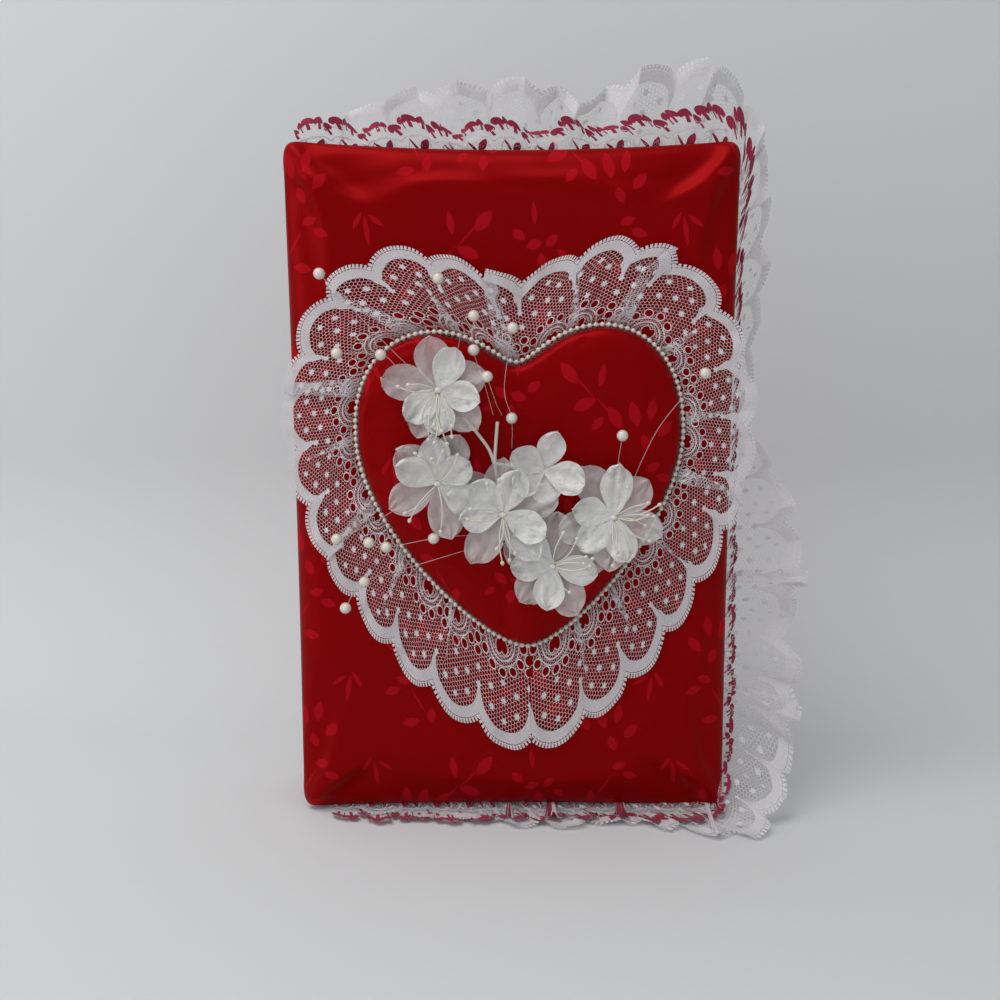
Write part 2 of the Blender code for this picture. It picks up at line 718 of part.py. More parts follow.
def rest_on_origin(root):
    """Move the album so that the bottom centre of its box is the origin."""
    bpy.context.view_layer.update()
    graph = bpy.context.evaluated_depsgraph_get()
    corners = []
    for made in PARTS.objects:
        if made.type != "EMPTY":
            whole = made.evaluated_get(graph)
            corners += [whole.matrix_world @ Vector(corner) for corner in whole.bound_box]
    low = [min(corner[axis] for corner in corners) for axis in range(3)]
    high = [max(corner[axis] for corner in corners) for axis in range(3)]
    root.location -= Vector(((low[0] + high[0]) / 2, (low[1] + high[1]) / 2, low[2]))
    bpy.context.view_layer.update()


def build_album():
    root = make_empty("album", (0, 0, 0))
    binding_edge = build_spine(root)
    build_leaves(root, binding_edge)

    front_hinge = make_empty("front_hinge", (0, 0, 0), root)
    build_cover("front", -1, front_hinge, FRONT_LIFT, FRONT_BATTING, FRONT_EDGE_RADIUS,
                FRONT_CROWN)
    build_edge_laces(front_hinge)
    heart = make_empty("heart_centre", (COVER_WIDTH / 2 + HEART_X, 0, FRONT_LIFT + HEART_Z),
                       front_hinge)
    build_heart(heart)
    build_flowers(heart)
    for number, (route, beads) in enumerate(SPRAYS, start=1):
        build_spray(f"pearl_spray_{number}", route, beads, heart)

    back_hinge = make_empty("back_hinge", (0, PAGE_SPACE, 0), root)
    build_cover("back", 1, back_hinge, 0.0, BACK_BATTING, BACK_EDGE_RADIUS, 0.0)
    rest_on_origin(root)


clear_scene()
PARTS = bpy.data.collections.new("keepsake_album")
bpy.context.scene.collection.children.link(PARTS)
RED_SATIN = make_material("red_satin", (0.42, 0.004, 0.010), 0.35)
WHITE_LACE = make_material("white_lace", (0.85, 0.84, 0.84), 0.8)
RED_LACE = make_material("red_lace", (0.72, 0.38, 0.42), 0.8)
ORGANZA = make_material("organza", (0.86, 0.87, 0.86), 0.45)
PEARL = make_material("pearl", (0.82, 0.77, 0.68), 0.2)
WRAPPED_WIRE = make_material("wrapped_wire", (0.86, 0.85, 0.80), 0.6)
WADDING = make_material("wadding", (0.9, 0.9, 0.88), 0.95)
GREY_BOARD = make_material("grey_board", (0.42, 0.39, 0.34), 0.9)
WHITE_CARD = make_material("white_card", (0.84, 0.82, 0.77), 0.75)
build_album()
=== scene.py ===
# %% [markdown]
# # A padded keepsake album with a lace heart
# The album stands on its foot. Its covers are card and wadding under red jacquard satin. A smaller
# padded heart sits on the front with a gathered lace frill, a string of pearls and a spray of
# organza flowers. Two more laces stand out behind the front cover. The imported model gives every
# place and every moving body, so this script only adds the looks.

# %% The frame
import bpy
import bmesh
import numpy as np
from math import pi, sin, cos, radians, hypot, atan2, sqrt, exp
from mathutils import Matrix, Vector, noise


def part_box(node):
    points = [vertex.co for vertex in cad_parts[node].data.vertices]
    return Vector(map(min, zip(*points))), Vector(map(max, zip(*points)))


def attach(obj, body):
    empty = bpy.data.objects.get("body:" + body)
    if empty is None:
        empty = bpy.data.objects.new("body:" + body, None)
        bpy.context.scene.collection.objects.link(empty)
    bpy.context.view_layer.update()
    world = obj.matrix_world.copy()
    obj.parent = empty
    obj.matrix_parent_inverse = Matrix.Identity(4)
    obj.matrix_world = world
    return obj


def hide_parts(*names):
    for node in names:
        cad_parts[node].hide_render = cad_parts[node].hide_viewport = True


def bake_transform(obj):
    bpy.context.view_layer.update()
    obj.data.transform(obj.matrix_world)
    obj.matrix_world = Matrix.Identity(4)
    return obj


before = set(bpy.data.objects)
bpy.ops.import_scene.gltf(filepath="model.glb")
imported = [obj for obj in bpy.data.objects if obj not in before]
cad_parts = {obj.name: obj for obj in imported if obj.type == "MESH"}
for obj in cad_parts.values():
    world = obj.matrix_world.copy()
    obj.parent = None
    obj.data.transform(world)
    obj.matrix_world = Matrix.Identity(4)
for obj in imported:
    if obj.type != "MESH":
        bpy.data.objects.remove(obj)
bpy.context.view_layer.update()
MM = 0.001

# %% [markdown]
# A still camera looks slightly down at the album, as a person standing at a table would. A plain
# pale sheet runs over the table and up behind the album in one soft bend, so there is no hard
# line behind it. The sheet is a strip of faces that follows an arc. From behind it is clear, so
# the album's back can be looked at too.

# %% Camera and pale sweep
scene = bpy.context.scene
camera = bpy.data.objects.new("camera", bpy.data.cameras.new("camera"))
scene.collection.objects.link(camera)
camera.data.lens = 50
camera.data.sensor_width = 36
camera.location = (-0.0245, -0.743, 0.3095)
camera.rotation_euler = (radians(90 - 10.3), 0, 0)
scene.camera = camera


def plain_material(name, colour, roughness):
    made = bpy.data.materials.new(name)
    made.use_nodes = True
    shader = made.node_tree.nodes["Principled BSDF"]
    shader.inputs["Base Color"].default_value = (*colour, 1)
    shader.inputs["Roughness"].default_value = roughness
    return made


def make_object(name, points, faces, material=None, smooth=True):
    mesh = bpy.data.meshes.new(name)
    mesh.from_pydata([tuple(p) for p in points], [], faces)
    mesh.update()
    if smooth:
        mesh.polygons.foreach_set("use_smooth", [True] * len(mesh.polygons))
    made = bpy.data.objects.new(name, mesh)
    scene.collection.objects.link(made)
    if material:
        mesh.materials.append(material)
    return made


def grid_faces(rows, columns, closed=False):
    """Quads of a grid of points, row after row; closed joins each row's end to its start."""
    faces = []
    for r in range(rows - 1):
        for c in range(columns if closed else columns - 1):
            d = (c + 1) % columns
            faces.append((r * columns + c, r * columns + d, (r + 1) * columns + d,
                          (r + 1) * columns + c))
    return faces


PAPER = plain_material("pale_backdrop_paper", (0.70, 0.71, 0.715), 0.9)
paper_nodes, paper_links = PAPER.node_tree.nodes, PAPER.node_tree.links
which_side = paper_nodes.new("ShaderNodeNewGeometry")
clear = paper_nodes.new("ShaderNodeBsdfTransparent")
one_way = paper_nodes.new("ShaderNodeMixShader")
paper_links.new(which_side.outputs["Backfacing"], one_way.inputs[0])
paper_links.new(paper_nodes["Principled BSDF"].outputs[0], one_way.inputs[1])
paper_links.new(clear.outputs[0], one_way.inputs[2])
paper_links.new(one_way.outputs[0], paper_nodes["Material Output"].inputs["Surface"])
profile = [(-1.6, 0.0), (0.12, 0.0)]
for i in range(1, 13):
    turn = radians(90) * i / 12
    profile.append((0.12 + 0.16 * sin(turn), 0.16 * (1 - cos(turn))))
profile.append((0.28, 2.2))
points = [(x, y, z) for x in (-2.2, 2.2) for y, z in profile]
faces = [tuple(reversed(f)) for f in grid_faces(2, len(profile))]
backdrop = make_object("backdrop", points, faces, PAPER)
print("sweep starts", profile[1][0], "m behind the album")

# %% [markdown]
# Soft light comes from a large panel above and a little to the left, with a weaker one at the
# front. The air itself gives an even fill, as white walls do in a small studio.

# %% Light
def light_panel(name, place, aim, width, height, power):
    data = bpy.data.lights.new(name, "AREA")
    data.shape = "RECTANGLE"
    data.size = width
    data.size_y = height
    data.energy = power
    panel = bpy.data.objects.new(name, data)
    scene.collection.objects.link(panel)
    panel.location = place
    panel.rotation_euler = (Vector(aim) - Vector(place)).to_track_quat("-Z", "Y").to_euler()
    return panel


light_panel("top_panel", (-0.5, -0.55, 1.5), (0, 0, 0.15), 1.2, 0.9, 10.5)
light_panel("left_panel", (-1.5, -0.9, 0.7), (0, 0, 0.2), 0.9, 0.9, 5.0)
world = bpy.data.worlds.new("studio_air")
world.use_nodes = True
world.node_tree.nodes["Background"].inputs["Color"].default_value = (0.96, 0.98, 1, 1)
world.node_tree.nodes["Background"].inputs["Strength"].default_value = 0.42
scene.world = world
scene.view_settings.view_transform = "Standard"

# %% [markdown]
# Jacquard satin is woven in one red. Its ground floats the warp on top and shines. The leaf
# sprigs float the weft, so they look lighter where the ground is dark and darker where the ground
# catches the light. The sprig is a list of leaves in a tile that repeats in a half-drop, and each
# leaf is a lens: a point is inside where the square of its long part and its short part add up to
# less than one.

# %% Jacquard satin
# Each leaf: centre x, centre z, turn in degrees, half length, half width, in millimetres
SPRIG_LEAVES = [
    (-26, 31, 128, 7.0, 3.4), (-18, 15, 205, 6.6, 3.2), (-9, 30, 80, 6.5, 2.0),
    (-2, 8, 300, 6.5, 3.4), (-11, 5, 230, 4.6, 2.4), (-18, 24, 312, 9.0, 0.6),
    (-6, 12, 312, 9.0, 0.6), (8, 10, 105, 7.2, 3.0), (17, 12, 82, 6.0, 2.6),
    (24, 2, 50, 5.4, 2.8), (14, -5, 290, 4.6, 2.6), (-30, -14, 95, 6.2, 1.4),
    (-38, -25, 140, 4.2, 2.6), (-30, -30, 200, 4.4, 2.6), (-21, -28, 45, 4.4, 2.4),
    (-26, -38, 275, 4.2, 2.4), (-15, -35, 320, 3.8, 2.0), (34, 26, 262, 8.0, 1.4),
    (29, 31, 215, 5.0, 1.3), (39, 31, 300, 5.6, 1.3), (10, -30, 60, 8.0, 0.6),
    (18, -18, 20, 4.2, 2.4), (24, -24, 340, 4.6, 2.4), (3, -38, 95, 4.6, 2.4),
    (14, -42, 350, 5.0, 2.6),
]
SPRIG_TILE = (82, 98)


def node_tools(material):
    """Short ways to add and join nodes in one material."""
    tree = material.node_tree

    def add(kind, **settings):
        made = tree.nodes.new(kind)
        for key, value in settings.items():
            setattr(made, key, value)
        return made

    def math(operation, a, b=None, c=None):
        made = add("ShaderNodeMath", operation=operation)
        for number, value in enumerate((a, b, c)):
            if value is None:
                continue
            if isinstance(value, (int, float)):
                made.inputs[number].default_value = value
            else:
                tree.links.new(value, made.inputs[number])
        return made.outputs[0]

    return tree, add, math


def mix_colours(tree, add, factor, low, high):
    made = add("ShaderNodeMix", data_type="RGBA")
    for name, value in (("A_Color", low), ("B_Color", high), ("Factor_Float", factor)):
        socket = next(s for s in made.inputs if s.identifier == name)
        if isinstance(value, tuple):
            socket.default_value = (*value, 1)
        elif isinstance(value, float):
            socket.default_value = value
        else:
            tree.links.new(value, socket)
    return next(s for s in made.outputs if s.identifier == "Result_Color")


def sprig_mask(add, tree, math, across, up):
    """1 inside a leaf and 0 on the ground, from two lengths in millimetres."""
    column = math("FLOOR", math("DIVIDE", across, SPRIG_TILE[0]))
    dropped = math("ADD", up, math("MULTIPLY", column, SPRIG_TILE[1] / 2))
    x = math("SUBTRACT", math("FLOORED_MODULO", across, SPRIG_TILE[0]), SPRIG_TILE[0] / 2)
    z = math("SUBTRACT", math("FLOORED_MODULO", dropped, SPRIG_TILE[1]), SPRIG_TILE[1] / 2)
    odd = math("MULTIPLY", math("FLOORED_MODULO", column, 2), -2)
    x = math("MULTIPLY", x, math("ADD", odd, 1))
    place = add("ShaderNodeCombineXYZ")
    tree.links.new(x, place.inputs[0])
    tree.links.new(z, place.inputs[1])
    nearest = None
    for cx, cz, turn, length, width in SPRIG_LEAVES:
        lay = add("ShaderNodeMapping", vector_type="TEXTURE")
        lay.inputs["Location"].default_value = (cx, cz, 0)
        lay.inputs["Rotation"].default_value = (0, 0, radians(turn))
        lay.inputs["Scale"].default_value = (length, width, 1)
        tree.links.new(place.outputs[0], lay.inputs[0])
        part = add("ShaderNodeSeparateXYZ")
        tree.links.new(lay.outputs[0], part.inputs[0])
        lens = math("MULTIPLY_ADD", part.outputs[0], part.outputs[0],
                    math("ABSOLUTE", part.outputs[1]))
        nearest = lens if nearest is None else math("MINIMUM", nearest, lens)
    edge = add("ShaderNodeMapRange", interpolation_type="SMOOTHSTEP")
    for name, value in (("From Min", 1.10), ("From Max", 0.82)):
        edge.inputs[name].default_value = value
    tree.links.new(nearest, edge.inputs["Value"])
    return edge.outputs[0]


def satin_material(name, axes, shift, leaf_share=1.0):
    """Red jacquard satin; axes names the two object axes that the cloth lies along."""
    made = plain_material(name, (0.27, 0.0008, 0.0022), 0.36)
    tree, add, math = node_tools(made)
    shader = tree.nodes["Principled BSDF"]
    where = add("ShaderNodeTexCoord")
    split = add("ShaderNodeSeparateXYZ")
    tree.links.new(where.outputs["Object"], split.inputs[0])
    across = math("MULTIPLY_ADD", split.outputs["XYZ".index(axes[0])], 1000, shift[0])
    up = math("MULTIPLY_ADD", split.outputs["XYZ".index(axes[1])], 1000, shift[1])
    leaf = sprig_mask(add, tree, math, across, up)
    # The leaves' twill lines are raised in the bump, and the leaf colour is painted darker in their
    # grooves: painted shade.
    twill_relief_and_shade = math("SINE", math("MULTIPLY", math("ADD", across, math("MULTIPLY", up, 0.8)), 5.2))
    warp = math("SINE", math("MULTIPLY", across, 8.4))
    leaf_tone_and_twill_shade = math("MULTIPLY", leaf, math("MULTIPLY_ADD", twill_relief_and_shade, 0.16, 0.80))
    cloud = add("ShaderNodeTexNoise")
    cloud.inputs["Scale"].default_value = 9
    cloud.inputs["Detail"].default_value = 3
    tree.links.new(where.outputs["Object"], cloud.inputs["Vector"])
    ground = mix_colours(tree, add, cloud.outputs["Fac"], (0.235, 0.0003, 0.0010),
                         (0.305, 0.0004, 0.0016))
    share = math("MULTIPLY", leaf_tone_and_twill_shade, leaf_share)
    colour = mix_colours(tree, add, share, ground, (0.47, 0.0045, 0.0120))
    tree.links.new(colour, shader.inputs["Base Color"])
    rough = math("MULTIPLY_ADD", leaf, 0.22, math("MULTIPLY_ADD", cloud.outputs["Fac"], 0.12, 0.33))
    tree.links.new(rough, shader.inputs["Roughness"])
    shader.inputs["Specular IOR Level"].default_value = 0.06
    shader.inputs["Metallic"].default_value = 0.35
    height = math("ADD", math("MULTIPLY", warp, 0.4), math("MULTIPLY", leaf, twill_relief_and_shade))
    bump = add("ShaderNodeBump")
    bump.inputs["Strength"].default_value = 0.12
    bump.inputs["Distance"].default_value = 0.0002
    tree.links.new(height, bump.inputs["Height"])
    tree.links.new(bump.outputs[0], shader.inputs["Normal"])
    return made


FRONT_SATIN = satin_material("front_jacquard_satin", "XZ", (18.0, 2.0))
HEART_SATIN = satin_material("heart_jacquard_satin", "XZ", (4.0, 30.0))
SPINE_SATIN = satin_material("spine_jacquard_satin", "YZ", (0.0, 20.0), 0.8)
print("sprig has", len(SPRIG_LEAVES), "leaves in a tile of", SPRIG_TILE, "mm")

# %% [markdown]
# A padded cover is a card with wadding on it and satin pulled over both. The satin swells between
# its edges and pulls in at them. The shape starts as a closed slab a little smaller than the real
# pad. Voxels make its mesh even, and air pressure in Blender's cloth blows it up while its back
# stays pinned to the card. The move of each point is capped, so the pad keeps its size.

# %% Padding by cloth and air
def smooth_step(low, high, value):
    t = np.clip((value - low) / (high - low), 0, 1)
    return t * t * (3 - 2 * t)


def read_points(made):
    flat = np.zeros(len(made.data.vertices) * 3)
    made.data.vertices.foreach_get("co", flat)
    return flat.reshape(-1, 3)


def write_points(made, points):
    made.data.vertices.foreach_set("co", points.ravel())
    made.data.update()


def blow_up(made, voxel, back_level, side, cap):
    """Even the mesh out, then let air swell it; side is -1 where the pad faces forward."""
    remesh = made.modifiers.new("even", "REMESH")
    remesh.mode = "VOXEL"
    remesh.voxel_size = voxel
    apply_modifiers(made)
    before = read_points(made)
    pinned = made.vertex_groups.new(name="pinned")
    held = np.nonzero((before[:, 1] - back_level) * side < 0.6 * voxel)[0]
    pinned.add([int(i) for i in held], 1.0, "REPLACE")
    cloth = made.modifiers.new("cloth", "CLOTH")
    cloth.settings.use_pressure = True
    cloth.settings.uniform_pressure_force = 4
    cloth.settings.vertex_group_mass = "pinned"
    cloth.settings.effector_weights.gravity = 0
    cloth.point_cache.frame_start = 1
    cloth.point_cache.frame_end = 20
    for step in range(1, 21):
        scene.frame_set(step)
    graph = bpy.context.evaluated_depsgraph_get()
    swollen = np.array([v.co for v in made.evaluated_get(graph).data.vertices])
    made.modifiers.clear()
    made.vertex_groups.clear()
    scene.frame_set(1)
    move = swollen - before
    length = np.linalg.norm(move, axis=1, keepdims=True)
    after = before + move * np.minimum(1, cap / np.maximum(length, 1e-9))
    write_points(made, after)
    return before


def apply_modifiers(made):
    """Turn the object's modifiers into its mesh."""
    graph = bpy.context.evaluated_depsgraph_get()
    done = bpy.data.meshes.new_from_object(made.evaluated_get(graph))
    made.modifiers.clear()
    old = made.data
    made.data = done
    bpy.data.meshes.remove(old)
    made.data.name = made.name


def add_smoothness(made, levels=1):
    made.modifiers.new("smooth", "SUBSURF").levels = levels
    made.modifiers["smooth"].render_levels = levels
    apply_modifiers(made)
    made.data.polygons.foreach_set("use_smooth", [True] * len(made.data.polygons))


def fill_outline(points, low, high, axes):
    """Stretch the points a little so that they span low to high along the given axes."""
    for k in axes:
        least, most = points[:, k].min(), points[:, k].max()
        points[:, k] = low[k] + (points[:, k] - least) * (high[k] - low[k]) / (most - least)
    return points


def rounded_outline(width, height, radius, steps=5):
    """Points of a rectangle with rounded corners, the same number for any size."""
    outline = []
    for cx, cz, start in ((1, 1, 0), (-1, 1, 90), (-1, -1, 180), (1, -1, 270)):
        for i in range(steps + 1):
            turn = radians(start + 90 * i / steps)
            outline.append((cx * (width / 2 - radius) + radius * cos(turn),
                            cz * (height / 2 - radius) + radius * sin(turn)))
    return outline


def closed_slab(name, rings, material):
    """A closed body from rings of points, capped at both ends."""
    count = len(rings[0])
    faces = grid_faces(len(rings), count, closed=True)
    faces.append(tuple(range(count - 1, -1, -1)))
    faces.append(tuple(range((len(rings) - 1) * count, len(rings) * count)))
    made = make_object(name, [p for ring in rings for p in ring], faces, material)
    bm = bmesh.new()
    bm.from_mesh(made.data)
    bmesh.ops.recalc_face_normals(bm, faces=bm.faces)
    bm.to_mesh(made.data)
    bm.free()
    return made


# %% [markdown]
# The front cover's top edge dips a little between its corners, where the satin pulls, and the
# cloth lies in shallow wrinkles below that edge. These are moves of the points along smooth noise,
# made after the cloth. The front pad is stretched to stand a little proud of its packed outline,
# most of all at its upper spine corner.

# %% Front and back covers
def cover_pad(name, node, side, shrink, radius):
    low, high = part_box(node)
    centre = ((low.x + high.x) / 2, (low.z + high.z) / 2)
    width, height = high.x - low.x, high.z - low.z
    back = high.y if side < 0 else low.y
    face = low.y if side < 0 else high.y
    depth = abs(face - back)
    rings = []
    for inset, level in ((shrink + 0.0008, 0.0), (shrink, 0.002), (shrink, depth - radius),
                         (shrink + 0.3 * radius, depth - 0.35 * radius),
                         (shrink + radius, depth - shrink)):
        outline = rounded_outline(width - 2 * inset, height - 2 * inset, 0.006)
        rings.append([(centre[0] + x, back + side * level, centre[1] + z) for x, z in outline])
    made = closed_slab(name, rings, FRONT_SATIN)
    blow_up(made, 0.005, back, side, 0.0045)
    add_smoothness(made)
    proud = 0.0024 if side < 0 else 0.0004
    around = Vector((proud, 0, 1.4 * proud))
    points = fill_outline(read_points(made), low - around, high + around, (0, 2))
    across = (points[:, 0] - low.x) / width
    climb = (points[:, 2] - low.z) / height
    points[:, 0] -= proud * 0.9 * np.clip(1 - across, 0, 1) ** 2 * climb
    from_top = high.z - points[:, 2]
    from_foot = points[:, 2] - low.z
    out = smooth_step(0.004, depth, (points[:, 1] - back) * side)
    limit = face - side * 0.0002
    points[:, 1] = np.minimum(points[:, 1] * side, limit * side) * side
    near_side = np.minimum(points[:, 0] - low.x, high.x - points[:, 0])
    pulled = np.sin(np.clip(across, 0, 1) * pi) ** 0.8
    points[:, 2] -= 0.0042 * pulled * smooth_step(0.03, 0.0, from_top)
    points[:, 2] += 0.0022 * pulled * smooth_step(0.02, 0.0, from_foot)
    for i, p in enumerate(points):
        band = exp(-((from_top[i] - 0.016) / 0.010) ** 2)
        crease = noise.noise(Vector((p[0] * 26, p[2] * 120, 3.1)))
        puff = noise.noise(Vector((p[0] * 12, p[2] * 12, 7.7)))
        edge_pull = noise.noise(Vector((p[0] * 60, p[2] * 60, 1.3)))
        near = exp(-(min(near_side[i], from_foot[i], from_top[i]) / 0.012) ** 2)
        points[i, 1] -= side * out[i] * (0.0016 * band * crease + 0.0007 * (puff + 0.3)
                                         + 0.0008 * near * (edge_pull + 0.2))
    points[:, 1] = np.minimum(points[:, 1] * side, limit * side) * side
    write_points(made, points)
    return made


front_pad = cover_pad("front_cover_satin", "front_satin", -1, 0.0022, 0.008)
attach(front_pad, "front_cover")
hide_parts("front_satin", "front_batting")
back_pad = cover_pad("back_cover_satin", "back_satin", 1, 0.0018, 0.006)
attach(back_pad, "back_cover")
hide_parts("back_satin", "back_batting")
print("front pad", len(front_pad.data.polygons), "faces")

# %% [markdown]
# Inside each cover lies a card with satin glued over it, which hides the turned-in edges. It is a
# thin slab with a soft edge. The spine is satin over a narrow card, with a short turned edge at
# the front and back.

# %% Linings and spine
def soft_card(name, node, material, body):
    low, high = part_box(node)
    centre = ((low.x + high.x) / 2, (low.z + high.z) / 2)
    depth = high.y - low.y
    rings = []
    for inset, share in ((0.0006, 0.0), (0.0001, 0.25), (0.0001, 0.7), (0.0005, 0.94),
                         (0.0030, 1.0)):
        outline = rounded_outline(high.x - low.x - 2 * inset, high.z - low.z - 2 * inset, 0.002)
        inset_depth = depth * (1 - share)
        level = high.y - inset_depth if node == "front_lining_satin" else low.y + inset_depth
        rings.append([(centre[0] + x, level, centre[1] + z) for x, z in outline])
    made = closed_slab(name, rings, material)
    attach(made, body)
    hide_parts(node)
    return made


soft_card("front_lining", "front_lining_satin", FRONT_SATIN, "front_cover")
soft_card("back_lining", "back_lining_satin", FRONT_SATIN, "back_cover")


def spine_cover():
    low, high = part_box("spine_satin")
    front, back, left = low.y, high.y, low.x
    section = []
    for i in range(7):
        turn = radians(90) * i / 6
        section.append((left + 0.0012 * (1 - sin(turn)), front + 0.0012 * (1 - cos(turn))))
    section = [(high.x, front)] + section
    section += [(x, front + back - y) for x, y in reversed(section)]
    rows = 60
    points = []
    for r in range(rows + 1):
        z = low.z + (high.z - low.z) * r / rows
        for x, y in section:
            ripple = 0.00025 * noise.noise(Vector((y * 90, z * 40, 2.0)))
            points.append((x - max(ripple, 0) * 0.5, y, z))
    faces = [tuple(reversed(f)) for f in grid_faces(rows + 1, len(section))]
    made = make_object("spine_cover_satin", points, faces, SPINE_SATIN)
    wall = made.modifiers.new("cloth_wall", "SOLIDIFY")
    wall.thickness = 0.0005
    wall.offset = -1
    apply_modifiers(made)
    return made


spine_piece = spine_cover()
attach(spine_piece, "spine")
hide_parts("spine_satin")

# %% [markdown]
# Hinges are strips of the same satin that cross from the spine to each cover.

# %% Hinge cloth
def hinge_strip(name, cover, level, outward):
    """A narrow strip from the spine's edge to the cover's edge, over the full height."""
    spine_low, spine_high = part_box("spine_satin")
    cover_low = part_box(cover)[0]
    left, right = cover_low.x + 0.0006, spine_low.x + 0.0022
    rows, columns = 48, 12
    points = []
    low, high = spine_low.z + 0.003, spine_high.z - 0.003
    for r in range(rows + 1):
        z = low + (high - low) * r / rows
        for c in range(columns + 1):
            share = c / columns
            dip = 0.0005 * sin(pi * share)
            points.append((left + (right - left) * share, level + outward * dip, z))
    made = make_object(name, points, grid_faces(rows + 1, columns + 1), SPINE_SATIN)
    wall = made.modifiers.new("cloth_wall", "SOLIDIFY")
    wall.thickness = 0.0005
    wall.offset = 0
    apply_modifiers(made)
    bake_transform(made)
    return made


spine_low, spine_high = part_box("spine_satin")
hinge_strip("front_hinge_cloth", "front_satin", spine_low.y - 0.0001, 1)
hinge_strip("back_hinge_cloth", "back_satin", spine_high.y + 0.0001, -1)

# %% [markdown]
# A small heart of card and wadding, covered in the same satin, is glued over the lace. Its outline
# is three curves from the notch to the tip and their mirror image, turned a little. The pad is
# blown up in the same way as the covers.

# %% Heart outline and pad
HEART_WIDTH, HEART_HEIGHT, HEART_TILT = 0.168, 0.167, radians(2.5)
LACE_SIDE, LACE_TOP, LACE_BOTTOM = 0.042, 0.047, 0.065
heart_low, heart_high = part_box("heart_satin")
cover_low, cover_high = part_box("front_satin")
HEART_CENTRE = Vector(((cover_low.x + cover_high.x) / 2 + 0.0043, 0, cover_low.z + 0.179))


def curve_points(start, start_pull, end_pull, end, steps):
    points = []
    for i in range(steps):
        t = i / steps
        weights = ((1 - t) ** 3, 3 * t * (1 - t) ** 2, 3 * t * t * (1 - t), t ** 3)
        pulls = (start, start_pull, end_pull, end)
        points.append(tuple(sum(w * p[k] for w, p in zip(weights, pulls)) for k in (0, 1)))
    return points


def whole_outline(half, tip):
    half.append(tip)
    return half + [(-x, z) for x, z in reversed(half[1:-1])]


def heart_outline(steps=20):
    w, h = HEART_WIDTH / 2, HEART_HEIGHT / 2
    notch, lobe, side, tip = (0, 0.79 * h), (0.52 * w, h), (w, 0.42 * h), (0, -h)
    half = curve_points(notch, (0.11 * w, 0.79 * h), (0.24 * w, h), lobe, steps)
    half += curve_points(lobe, (0.80 * w, h), (w, 0.76 * h), side, steps)
    half += curve_points(side, (1.05 * w, -0.17 * h), (0.26 * w, -h), tip, 2 * steps)
    return whole_outline(half, tip)


def frill_outline(steps=20):
    w = HEART_WIDTH / 2 + LACE_SIDE
    top, low = HEART_HEIGHT / 2 + LACE_TOP, HEART_HEIGHT / 2 + LACE_BOTTOM
    dip, lobe, side, tip = (0, 0.88 * top), (0.46 * w, top), (w, 0.23 * top), (0, -low)
    half = curve_points(dip, (0.15 * w, 0.88 * top), (0.28 * w, top), lobe, steps)
    half += curve_points(lobe, (0.76 * w, top), (w, 0.68 * top), side, steps)
    half += curve_points(side, (w, -0.16 * low), (0.48 * w, -0.92 * low), tip, 2 * steps)
    return whole_outline(half, tip)


def inset_outline(outline, distance):
    moved = []
    count = len(outline)
    for i, (x, z) in enumerate(outline):
        a, b = outline[i - 1], outline[(i + 1) % count]
        along = Vector((b[0] - a[0], b[1] - a[1])).normalized()
        moved.append((x + along.y * distance, z - along.x * distance))
    return moved


def on_heart(x, z, y):
    """A point given from the heart's centre, turned with the heart, at depth y."""
    return Vector((HEART_CENTRE.x + x * cos(HEART_TILT) - z * sin(HEART_TILT), y,
                   HEART_CENTRE.z + x * sin(HEART_TILT) + z * cos(HEART_TILT)))


def heart_pad():
    back, face = heart_high.y, heart_low.y
    depth = back - face
    outline = heart_outline()
    rings = []
    for inset, level in ((0.0022, 0.0), (0.0010, 0.0012), (0.0010, depth * 0.45),
                         (0.0022, depth * 0.72), (0.0050, depth - 0.0024),
                         (0.0100, depth - 0.0012)):
        rings.append([on_heart(x, z, back - level) for x, z in inset_outline(outline, inset)])
    made = closed_slab("heart_pad_satin", rings, HEART_SATIN)
    blow_up(made, 0.003, back, -1, 0.003)
    add_smoothness(made)
    points = fill_outline(read_points(made), heart_low, heart_high, (0, 2))
    for i, p in enumerate(points):
        out = smooth_step(0.002, 0.008, back - p[1])
        puff = noise.noise(Vector((p[0] * 18, p[2] * 18, 4.4)))
        points[i, 1] -= out * 0.0006 * (puff - 0.3)
    points[:, 1] = np.maximum(points[:, 1], face - 0.0001)
    write_points(made, points)
    return made


heart_piece = heart_pad()
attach(heart_piece, "front_cover")
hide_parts("heart_satin", "heart_batting")
print("heart pad", len(heart_piece.data.polygons), "faces")

# %% [markdown]
# Lace is thread, so it is modelled as thread. One repeat of the pattern is drawn flat, with u
# along the lace and v across it: a net of six-sided holes with small daisies, a row of looped
# rings over a finer net with a heart-shaped hole, a dense scalloped band and a comb of short
# picots. Every thread is a flat ribbon of a few faces. The same drawing serves the frill round
# the heart and the wide lace behind the cover.

